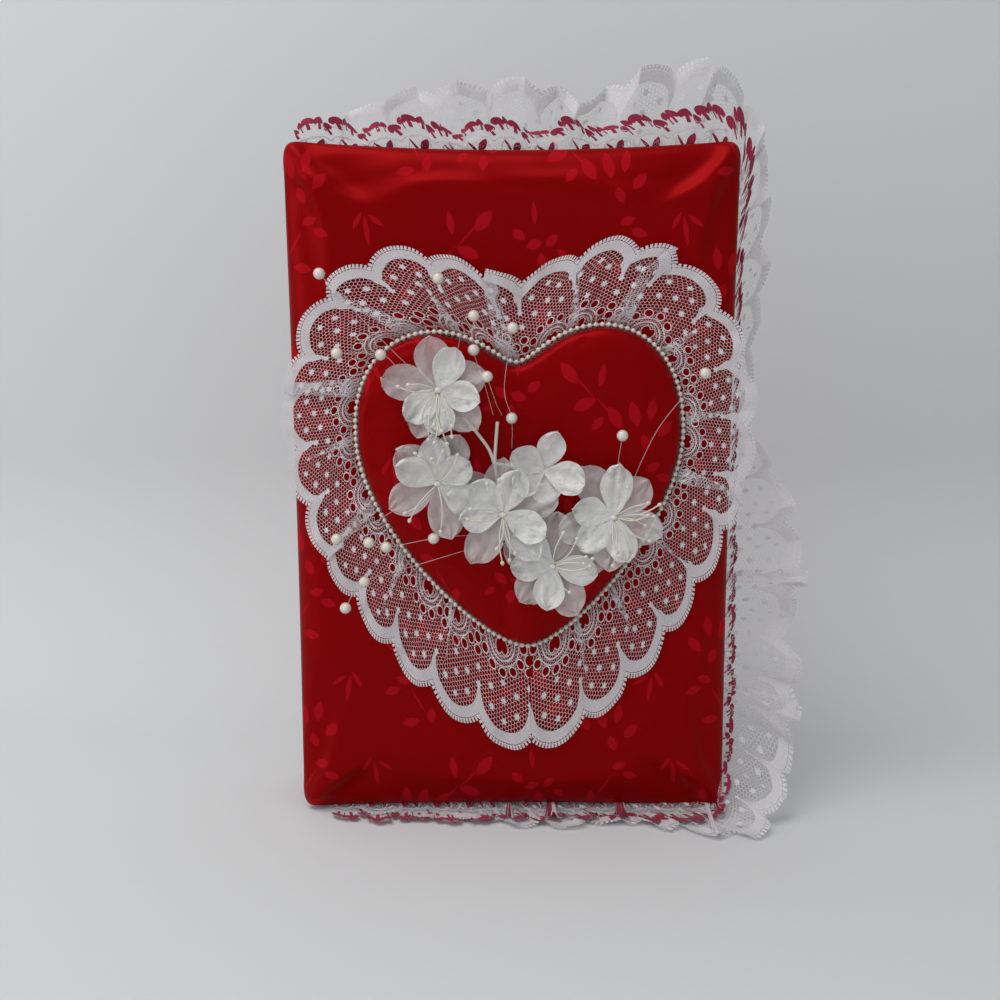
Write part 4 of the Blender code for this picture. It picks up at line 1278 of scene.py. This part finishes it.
# Each line: seam x, seam z, then the free edge's x, y, z, in mm
RED_STATIONS = [
    (-127, 355.5, -133, -4, 372), (-118, 355.5, -122, -7, 376), (-106, 355.5, -108, -4, 377),
    (-96, 355.5, -98, 3, 371), (-80, 355.5, -82, -6, 376), (-64, 355.5, -64, -6, 377),
    (-50, 355.5, -49, 2, 370), (-36, 355.5, -36, -6, 376), (-20, 355.5, -20, -6, 376),
    (-6, 355.5, -8, 2, 369), (10, 355.5, 10, -6, 377), (24, 355.5, 25, 1, 371),
    (40, 355.5, 42, -6, 377), (58, 355.5, 62, -6, 380), (76, 355.5, 82, -5, 384),
    (88, 355, 97, -2, 383), (92.5, 350, 106, 0, 371), (92.5, 338, 110, 3, 352),
    (92.5, 320, 107, 8, 326), (92.5, 296, 106, 9, 298), (92.5, 270, 106, 9, 270),
    (92.5, 240, 106, 8, 238), (92.5, 208, 106, 8, 205), (92.5, 176, 106, 7, 172),
    (92.5, 144, 107, 5, 140), (92.5, 112, 107, 5, 107), (92.5, 80, 108, 3, 74),
    (92.5, 48, 107, -1, 42), (92.5, 22, 105, -8, 17), (91, 10, 100, -24, 5),
    (84, 9, 88, -34, 2.4), (66, 9, 68, -33, 2.0), (44, 9, 46, -35, 2.4), (22, 9, 22, -31, 2.0),
    (0, 9, 0, -36, 2.6), (-22, 9, -22, -32, 2.0), (-44, 9, -45, -37, 2.6), (-66, 9, -66, -31, 2.0),
    (-88, 9, -88, -34, 2.4), (-108, 9, -108, -29, 2.0), (-122, 9, -118, -24, 2.0),
]
RED_REPEATS = 45
RED_LENGTH = RED_REPEATS * RED_REPEAT
RED_PLEATS = [(92, 4, 1, 0.6), (300, 4, 1, 0.6), (560, 4, 1, 0.6), (800, 4, 1, 0.4)]
red_surface = ruffle_surface("red_surface", lace_lines(RED_STATIONS, -0.0015, 0.0007),
                             [0, 0.45, 1], RED_LENGTH, RED_PLEATS,
                             flute_shape(36, 0.0036, 0.0016, 8.0, 0.0012), 1.0)
red_piece = weave("red_edge_lace", RED_UNIT, red_surface, 0, RED_REPEATS, RED_REPEAT, RED_LENGTH,
                  0.0, RED_WIDTH, LACE_TREE)
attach(red_piece, "front_cover")
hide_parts("red_lace_trim")
red_share = flat_area(RED_UNIT) / (RED_REPEAT * RED_WIDTH)
bpy.data.objects.remove(red_surface)

# %% [markdown]
# A bought string of small pearl beads hides the heart's glued edge. Geometry Nodes set one bead
# at every step of the outline and run the thread through them.

# %% Pearl string
PEARL = plain_material("pearl_lacquer", (0.62, 0.54, 0.43), 0.2)
pearl_shader = PEARL.node_tree.nodes["Principled BSDF"]
tree, add, math = node_tools(PEARL)
# Painted shade: the pearl's colour goes from cream to a darker brown towards its rim, as the
# surface turns away from the camera.
rim_shade_facing = add("ShaderNodeLayerWeight")
rim_shade_facing.inputs["Blend"].default_value = 0.35
tree.links.new(mix_colours(tree, add, rim_shade_facing.outputs["Facing"], (0.80, 0.74, 0.66),
                           (0.42, 0.34, 0.25)), pearl_shader.inputs["Base Color"])
pearl_shader.inputs["Coat Weight"].default_value = 0.6
pearl_shader.inputs["Coat Roughness"].default_value = 0.08
BEAD_STEP = 3.3


def bead_tree(material):
    tree = bpy.data.node_groups.new("bead_string", "GeometryNodeTree")
    face = tree.interface
    face.new_socket("Line", in_out="INPUT", socket_type="NodeSocketGeometry")
    face.new_socket("Bead Count", in_out="INPUT", socket_type="NodeSocketInt")
    face.new_socket("Bead Radius", in_out="INPUT", socket_type="NodeSocketFloat")
    face.new_socket("Thread Radius", in_out="INPUT", socket_type="NodeSocketFloat")
    face.new_socket("String", in_out="OUTPUT", socket_type="NodeSocketGeometry")
    add, join = tree.nodes.new, tree.links.new
    begin, end = add("NodeGroupInput"), add("NodeGroupOutput")
    path = add("GeometryNodeMeshToCurve")
    join(begin.outputs["Line"], path.inputs["Mesh"])
    steps = add("GeometryNodeResampleCurve")
    join(path.outputs[0], steps.inputs["Curve"])
    join(begin.outputs["Bead Count"], steps.inputs["Count"])
    bead = add("GeometryNodeMeshUVSphere")
    bead.inputs["Segments"].default_value = 10
    bead.inputs["Rings"].default_value = 7
    join(begin.outputs["Bead Radius"], bead.inputs["Radius"])
    place = add("GeometryNodeInstanceOnPoints")
    join(steps.outputs[0], place.inputs["Points"])
    join(bead.outputs["Mesh"], place.inputs["Instance"])
    ring = add("GeometryNodeCurvePrimitiveCircle")
    ring.inputs["Resolution"].default_value = 6
    join(begin.outputs["Thread Radius"], ring.inputs["Radius"])
    thread = add("GeometryNodeCurveToMesh")
    join(path.outputs[0], thread.inputs["Curve"])
    join(ring.outputs[0], thread.inputs["Profile Curve"])
    both = add("GeometryNodeJoinGeometry")
    join(thread.outputs[0], both.inputs[0])
    join(place.outputs[0], both.inputs[0])
    real = add("GeometryNodeRealizeInstances")
    join(both.outputs[0], real.inputs[0])
    smooth = add("GeometryNodeSetShadeSmooth")
    join(real.outputs[0], smooth.inputs[0])
    finish = add("GeometryNodeSetMaterial")
    finish.inputs["Material"].default_value = material
    join(smooth.outputs[0], finish.inputs["Geometry"])
    join(finish.outputs[0], end.inputs["String"])
    return tree


def line_object(name, points, closed):
    mesh = bpy.data.meshes.new(name)
    count = len(points)
    edges = [(i, (i + 1) % count) for i in range(count if closed else count - 1)]
    mesh.from_pydata([tuple(p) for p in points], edges, [])
    made = bpy.data.objects.new(name, mesh)
    scene.collection.objects.link(made)
    return made


trim_low, trim_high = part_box("pearl_trim")
trim_line = [on_heart(x, z, (trim_low.y + trim_high.y) / 2 - 0.0002)
             for x, z in inset_outline(heart_outline(), -0.0016)]
trim_length = sum((b - a).length for a, b in zip(trim_line, trim_line[1:] + trim_line[:1]))
string = line_object("pearl_string", trim_line, True)
weaving = string.modifiers.new("beads", "NODES")
weaving.node_group = bead_tree(PEARL)
bead_count = round(trim_length / (BEAD_STEP * MM))
set_inputs(weaving, {"Bead Count": bead_count, "Bead Radius": 0.0014, "Thread Radius": 0.0004})
apply_modifiers(string)
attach(string, "front_cover")
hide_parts("pearl_trim")
print("pearl string:", bead_count, "beads on", round(trim_length, 3), "m")

# %% [markdown]
# Each flower is cut from stiff white organza: five wide outer petals that let the red through and
# four smaller ones over them, with a pearl at the centre and stamens of stiffened thread that end
# in drops. A petal is a grid of points across its outline, cupped, creased and waved by noise.

# %% Organza flowers
def organza_material(name, alpha, colour):
    made = plain_material(name, colour, 0.30)
    tree, add = node_tools(made)[:2]
    shader = tree.nodes["Principled BSDF"]
    where = add("ShaderNodeUVMap", uv_map="petal")
    crush = add("ShaderNodeTexNoise")
    crush.inputs["Scale"].default_value = 9
    crush.inputs["Detail"].default_value = 3
    crush.inputs["Distortion"].default_value = 1.2
    tree.links.new(where.outputs[0], crush.inputs["Vector"])
    cloud = add("ShaderNodeTexNoise")
    cloud.inputs["Scale"].default_value = 5
    tree.links.new(where.outputs[0], cloud.inputs["Vector"])
    colour_out = mix_colours(tree, add, cloud.outputs["Fac"], tuple(0.86 * c for c in colour),
                             colour)
    tree.links.new(colour_out, shader.inputs["Base Color"])
    bump = add("ShaderNodeBump")
    bump.inputs["Strength"].default_value = 0.7
    bump.inputs["Distance"].default_value = 0.0012
    tree.links.new(crush.outputs["Fac"], bump.inputs["Height"])
    tree.links.new(bump.outputs[0], shader.inputs["Normal"])
    shader.inputs["Alpha"].default_value = alpha
    shader.inputs["Sheen Weight"].default_value = 0.25
    return made


SHEER = organza_material("sheer_organza", 0.54, (0.90, 0.89, 0.88))
FULL = organza_material("doubled_organza", 0.82, (0.93, 0.93, 0.91))


def heart_share(x, z):
    turned = Vector((x * cos(HEART_TILT) + z * sin(HEART_TILT),
                     z * cos(HEART_TILT) - x * sin(HEART_TILT)))
    edge = min(heart_outline(6), key=lambda p: abs(pi - abs(pi - abs(
        atan2(p[1], p[0]) - atan2(turned.y, turned.x)))))
    return turned.length / hypot(*edge)


def satin_y(x, z):
    """Depth of the heart's satin at a place given from the heart's centre."""
    share = min(max((heart_share(x, z) - 0.74) / 0.26, 0), 1)
    return heart_low.y + 0.0015 * share ** 1.5


def from_heart(x, z, y):
    return Vector((HEART_CENTRE.x + x, y, HEART_CENTRE.z + z))


def petal_points(seed, length, width, lift, cup, rows=23, columns=19):
    """Grid of one petal that runs along +x from the flower's centre; z is up off the satin."""
    points = []
    point = (0.5, 0.72, 0.58)[seed % 3]
    for r in range(rows):
        t = r / (rows - 1)
        if t < 0.6:
            half = width / 2 * (0.12 + 0.88 * sin(pi / 2 * t / 0.6) ** 1.2)
        else:
            half = width / 2 * max(1 - ((t - 0.6) / 0.4) ** 2, 0.0) ** point
        for c in range(columns):
            w = 2 * c / (columns - 1) - 1
            notch = 0.05 * length * exp(-(w / 0.25) ** 2) * smooth_step(0.8, 1, t)
            edge = noise.noise(Vector((seed * 7.1, w * 2.2 + t, 3.0)))
            u = length * t * (1 + 0.05 * edge) - notch
            across = half * w * (1 + 0.08 * noise.noise(Vector((seed * 3.3, t * 3, w * 2))))
            crumple = noise.noise(Vector((u * 150 + seed * 9, across * 150, seed)))
            crease = noise.noise(Vector((u * 260 + seed, across * 420 + seed, seed * 2)))
            crumple += 0.9 * (0.35 - abs(crease))
            fold = noise.noise(Vector((seed * 5, w * 2.4, t * 0.8)))
            curl = noise.noise(Vector((seed * 11, 2.0, 1.0)))
            height = (lift * t + cup * t * t * (0.4 + 0.6 * w * w) + 0.0028 * crumple * t
                      + 0.0040 * fold * t * t - 0.0010 * (1 - abs(w)) * sin(pi * t)
                      + 0.0050 * curl * t ** 3)
            points.append((u, across, height))
    return points


class Petals:
    """Collects petals of one finish into one mesh."""

    def __init__(self):
        self.points, self.faces, self.uv = [], [], []

    def add(self, centre, seat, turn, tilt, shape, rows=23, columns=19):
        base = len(self.points)
        for i, (u, across, height) in enumerate(shape):
            x = u * cos(turn) - across * sin(turn)
            z = u * sin(turn) + across * cos(turn)
            y = seat - height - tilt[0] * x - tilt[1] * z
            self.points.append(from_heart(centre[0] + x, centre[1] + z, y))
            self.uv.append((u * 40, across * 40))
        self.faces += [tuple(base + i for i in face) for face in grid_faces(rows, columns)]

    def make(self, name, material):
        made = make_object(name, self.points, self.faces, material)
        layer = made.data.uv_layers.new(name="petal")
        corner = np.zeros(len(made.data.loops), int)
        made.data.loops.foreach_get("vertex_index", corner)
        layer.data.foreach_set("uv", np.array(self.uv)[corner].ravel())
        return made


# Centre from the heart's centre, stand-off, first petal's turn, tilt right and up, and then each
# stamen's turn in degrees and length in mm
BLOOMS = [
    ((-0.0431, 0.0547), 0.0065, 0.45, (0.10, 0.08),
     [(-121, 14), (-95, 15), (-84, 18), (-66, 17), (-80, 25), (-93, 24), (-101, 23), (174, 18),
      (166, 13), (-72, 22)]),
    ((-0.0435, 0.0063), 0.0030, 1.1, (-0.06, 0.05),
     [(123, 18), (81, 16), (56, 17), (-139, 20), (-129, 21), (-86, 22), (100, 12)]),
    ((-0.0100, -0.0093), 0.0085, 0.35, (0.0, -0.05),
     [(166, 15), (-175, 16), (-91, 22), (-81, 21), (-72, 18), (116, 17), (95, 17), (-100, 15)]),
    ((0.0472, -0.0108), 0.0085, 0.9, (0.05, 0.0),
     [(19, 22), (6, 18), (8, 15), (-10, 14), (-32, 19), (-62, 19), (-86, 15), (-91, 22), (69, 16),
      (28, 17)]),
    ((0.0160, -0.0374), 0.0030, 0.2, (0.05, -0.04),
     [(15, 19), (12, 14), (5, 17), (-3, 18), (-56, 13), (76, 18), (52, 18), (22, 16)]),
]
TIP_RADII = [0.0002, 0.0007, 0.00095, 0.00105, 0.00095, 0.0007, 0.0002]
STAMEN_RADIUS = 0.00038
THREAD = plain_material("stiffened_thread", (0.72, 0.69, 0.60), 0.45)
tree, add, math = node_tools(THREAD)
where = add("ShaderNodeTexCoord")
lay = add("ShaderNodeTexWave")
lay.inputs["Scale"].default_value = 900
tree.links.new(where.outputs["Object"], lay.inputs["Vector"])
tree.links.new(mix_colours(tree, add, lay.outputs["Fac"], (0.66, 0.63, 0.54), (0.76, 0.74, 0.66)),
               tree.nodes["Principled BSDF"].inputs["Base Color"])


def tube_mesh(path, radii, sides=6):
    """Points and faces of a round tube along a path, closed at both ends."""
    points, faces = [], []
    up = Vector((0, 1, 0))
    for i, p in enumerate(path):
        a, b = path[max(i - 1, 0)], path[min(i + 1, len(path) - 1)]
        along = (b - a).normalized()
        side = along.cross(up)
        side = side.normalized() if side.length > 1e-4 else Vector((1, 0, 0))
        other = side.cross(along)
        for k in range(sides):
            turn = 2 * pi * k / sides
            points.append(p + (side * cos(turn) + other * sin(turn)) * radii[i])
    faces = grid_faces(len(path), sides, closed=True)
    faces.append(tuple(range(sides - 1, -1, -1)))
    faces.append(tuple(range((len(path) - 1) * sides, len(path) * sides)))
    return points, faces


def joined(parts):
    points, faces = [], []
    for more, its_faces in parts:
        base = len(points)
        points += more
        faces += [tuple(base + i for i in face) for face in its_faces]
    return points, faces


for number, (centre, stand_off, spin, tilt, stamens) in enumerate(BLOOMS, start=1):
    seat = satin_y(*centre) - 0.0006 - stand_off * 0.6
    outer, inner = Petals(), Petals()
    for k in range(5):
        turn = spin + 2 * pi * k / 5 + 0.12 * noise.noise(Vector((number, k, 0.5)))
        length = 0.0285 * (1 + 0.14 * noise.noise(Vector((number * 2.3, k * 1.7, 1.5))))
        outer.add(centre, seat, turn, tilt,
                  petal_points(number * 10 + k, length, 0.0190, 0.0015, 0.0036))
        if k == number % 5:
            continue
        turn += pi / 5 + 0.5 * noise.noise(Vector((number, k, 4.5)))
        inner.add(centre, seat - 0.0016, turn, tilt,
                  petal_points(number * 10 + k + 5,
                               0.0235 + 0.0060 * noise.noise(Vector((number, k * 1.9, 8.5))),
                               0.0165, 0.0012, 0.0045))
    for layer, name, finish in ((outer, "outer", SHEER), (inner, "inner", FULL)):
        piece = layer.make(f"flower_{number}_{name}_organza", finish)
        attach(piece, "front_cover")
        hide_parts(f"flower_{number}_{name}_petals")
    top_y = seat - 0.0052
    parts = []
    heart_of = from_heart(centre[0], centre[1], top_y)
    for k, (turn, reach) in enumerate(stamens):
        way = Vector((cos(radians(turn)), 0, sin(radians(turn))))
        reach *= MM
        path = []
        for i in range(9):
            t = i / 8
            rise = 0.0030 * sin(pi * min(t * 0.8, 1)) + 0.0042 * t + 0.0006 * (k % 3)
            bend = 0.0016 * sin(pi * t) * (1 if k % 2 else -1)
            side = Vector((-way.z, 0, way.x))
            path.append(heart_of + way * (0.0012 + reach * t) + side * bend
                        + Vector((0, -rise - tilt[0] * way.x * reach * t, 0)))
        parts.append(tube_mesh(path, [STAMEN_RADIUS] * 9, 5))
        tip = (path[-1] - path[-2]).normalized()
        drop = [path[-1] + tip * 0.0026 * (i / 6 - 0.2) for i in range(7)]
        parts.append(tube_mesh(drop, TIP_RADII, 8))
    oval = [heart_of + Vector((0.0021 * cos(pi * i / 8) * -1, -0.0006, 0.0)) for i in range(9)]
    radii = [max(0.0017 * sin(pi * i / 8), 0.0001) for i in range(9)]
    points, faces = joined(parts)
    made = make_object(f"flower_{number}_stamen_threads", points, faces, THREAD)
    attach(made, "front_cover")
    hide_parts(f"flower_{number}_stamens")
    points, faces = tube_mesh(oval, radii, 12)
    bead = make_object(f"flower_{number}_centre_pearl", points, faces, PEARL)
    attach(bead, "front_cover")

# Each wrapped wire: places from the heart's centre with their height off the satin, and its radius
STEMS = [
    ([(-0.0128, 0.0380, 0.004), (-0.0136, 0.0270, 0.002), (-0.0140, 0.0150, 0.001),
      (-0.0120, 0.0040, 0.001)], 0.0009),
    ([(-0.0300, 0.0400, 0.003), (-0.0225, 0.0310, 0.002), (-0.0170, 0.0230, 0.001),
      (-0.0142, 0.0150, 0.001)], 0.0009),
    ([(0.0020, 0.0120, 0.002), (-0.0070, 0.0150, 0.002), (-0.0140, 0.0160, 0.001)], 0.0008),
]
stems = []
for route, radius in STEMS:
    path = [from_heart(x, z, satin_y(x, z) - 0.0012 - height) for x, z, height in route]
    path = [Vector(p) for p in smooth_curve(path, 8)]
    stems.append(tube_mesh(path, [radius] * len(path), 8))
points, faces = joined(stems)
stem_piece = make_object("wrapped_stems", points, faces, THREAD)
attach(stem_piece, "front_cover")
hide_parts("flower_stem", "flower_stem_branch")

folded = Petals()
spot = (0.0113, 0.0124)
for k, (turn, length, width, lift, cup) in enumerate((
        (1.30, 0.0225, 0.0150, 0.0070, 0.0030), (2.55, 0.0200, 0.0160, 0.0060, 0.0040),
        (-0.25, 0.0215, 0.0180, 0.0040, 0.0040), (-1.5, 0.0170, 0.0160, 0.0030, 0.0030),
        (3.6, 0.0180, 0.0160, 0.0040, 0.0045))):
    folded.add(spot, satin_y(*spot) - 0.0035 - 0.0008 * (k % 3), turn, (0, 0),
               petal_points(70 + k, length, width, lift, cup))
piece = folded.make("folded_petals_organza", FULL)
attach(piece, "front_cover")
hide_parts("folded_petals")
print("flowers made:", len(BLOOMS))

# %% [markdown]
# Pearls on stiff clear line spring out between the flowers. The line is thin nylon, bent once and
# stiff, so it holds its curve; it isn't a free cord. Geometry Nodes would only copy a ball here,
# so each pearl is a short spun tube on the line's own path, and all of them are one piece.

# %% Pearl sprays
LINE = plain_material("clear_nylon_line", (0.78, 0.66, 0.64), 0.25)
LINE.node_tree.nodes["Principled BSDF"].inputs["Alpha"].default_value = 0.55
SPRAYS = [
    ([(-0.0563, 0.0640, 0.0), (-0.0743, 0.0830, 0.006), (-0.1020, 0.1132, 0.009)], [2]),
    ([(-0.0560, 0.0580, 0.0), (-0.0640, 0.0660, 0.004), (-0.0721, 0.0725, 0.006),
      (-0.0940, 0.0735, 0.009)], [2, 3]),
    ([(-0.0150, 0.0410, 0.0), (-0.0190, 0.0560, 0.004), (-0.0249, 0.0750, 0.007),
      (-0.0248, 0.0922, 0.009)], [2, 3]),
    ([(-0.0105, 0.0410, 0.0), (-0.0135, 0.0480, 0.007), (-0.0180, 0.0621, 0.014)], [2]),
    ([(-0.0053, 0.0240, 0.0), (-0.0055, 0.0400, 0.005), (-0.0093, 0.0560, 0.009),
      (-0.0051, 0.0863, 0.012)], [1, 3]),
    ([(-0.0360, 0.0680, 0.0), (-0.0320, 0.0840, 0.006), (-0.0425, 0.1108, 0.010)], [2]),
    ([(0.0477, 0.0050, 0.0), (0.0490, 0.0160, 0.007), (0.0508, 0.0319, 0.012)], [2]),
    ([(0.0557, 0.0020, 0.0), (0.0700, 0.0360, 0.008), (0.0921, 0.0636, 0.012)], [2]),
    ([(-0.0250, -0.0220, 0.0), (-0.0461, -0.0230, 0.005), (-0.0706, -0.0272, 0.007),
      (-0.0795, -0.0246, 0.008)], [1, 2, 3]),
    ([(-0.0563, -0.0010, 0.0), (-0.0743, -0.0130, 0.005), (-0.0960, -0.0225, 0.009)], [2]),
    ([(-0.0283, -0.0300, 0.0), (-0.0543, -0.0370, 0.005), (-0.0822, -0.0455, 0.008),
      (-0.0922, -0.0593, 0.009)], [2, 3]),
]
lines, pearls = [], []
for route, beads in SPRAYS:
    start = satin_y(*route[0][:2]) - 0.0006
    path = [from_heart(x, z, start - height) for x, z, height in route]
    smooth = [Vector(p) for p in smooth_curve(path, 10)]
    lines.append(tube_mesh(smooth, [0.00016] * len(smooth), 5))
    for number in beads:
        centre = smooth[number * 10]
        ahead = smooth[min(number * 10 + 1, len(smooth) - 1)] - smooth[number * 10 - 1]
        ahead.normalize()
        ball = [centre - ahead * 0.003 * cos(pi * i / 12) for i in range(13)]
        radii = [max(0.003 * sin(pi * i / 12), 0.0002) for i in range(13)]
        pearls.append(tube_mesh(ball, radii, 20))
points, faces = joined(lines)
made = make_object("spray_lines", points, faces, LINE)
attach(made, "front_cover")
points, faces = joined(pearls)
made = make_object("spray_pearls", points, faces, PEARL)
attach(made, "front_cover")
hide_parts(*[f"pearl_spray_{n}" for n in range(1, 12)])
print("sprays:", len(SPRAYS), "lines,", len(pearls), "pearls")

# %% [markdown]
# The leaves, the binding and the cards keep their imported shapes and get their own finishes: soft
# white card with a faint tooth, and grey board with flecks.

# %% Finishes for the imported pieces
def card_material(name, low, high, scale, roughness):
    made = plain_material(name, high, roughness)
    tree, add = node_tools(made)[:2]
    where = add("ShaderNodeTexCoord")
    fibre = add("ShaderNodeTexNoise")
    fibre.inputs["Scale"].default_value = scale
    fibre.inputs["Detail"].default_value = 5
    tree.links.new(where.outputs["Object"], fibre.inputs["Vector"])
    shader = tree.nodes["Principled BSDF"]
    tree.links.new(mix_colours(tree, add, fibre.outputs["Fac"], low, high),
                   shader.inputs["Base Color"])
    bump = add("ShaderNodeBump")
    bump.inputs["Strength"].default_value = 0.2
    bump.inputs["Distance"].default_value = 0.0002
    tree.links.new(fibre.outputs["Fac"], bump.inputs["Height"])
    tree.links.new(bump.outputs[0], shader.inputs["Normal"])
    return made


CARD = card_material("white_page_card", (0.66, 0.64, 0.58), (0.76, 0.74, 0.69), 420, 0.7)
BOARD = card_material("grey_fibre_board", (0.30, 0.27, 0.22), (0.46, 0.43, 0.37), 300, 0.9)
WADDING = card_material("white_wadding", (0.72, 0.72, 0.70), (0.85, 0.85, 0.83), 240, 0.95)
for name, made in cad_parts.items():
    finish = None
    if name.startswith("album_leaf") or name in ("page_binding", "front_lining_card",
                                                 "back_lining_card"):
        finish = CARD
    elif name.endswith("_board"):
        finish = BOARD
    elif name.endswith("_batting"):
        finish = WADDING
    if finish:
        made.data.materials.clear()
        made.data.materials.append(finish)
print("finishes set")
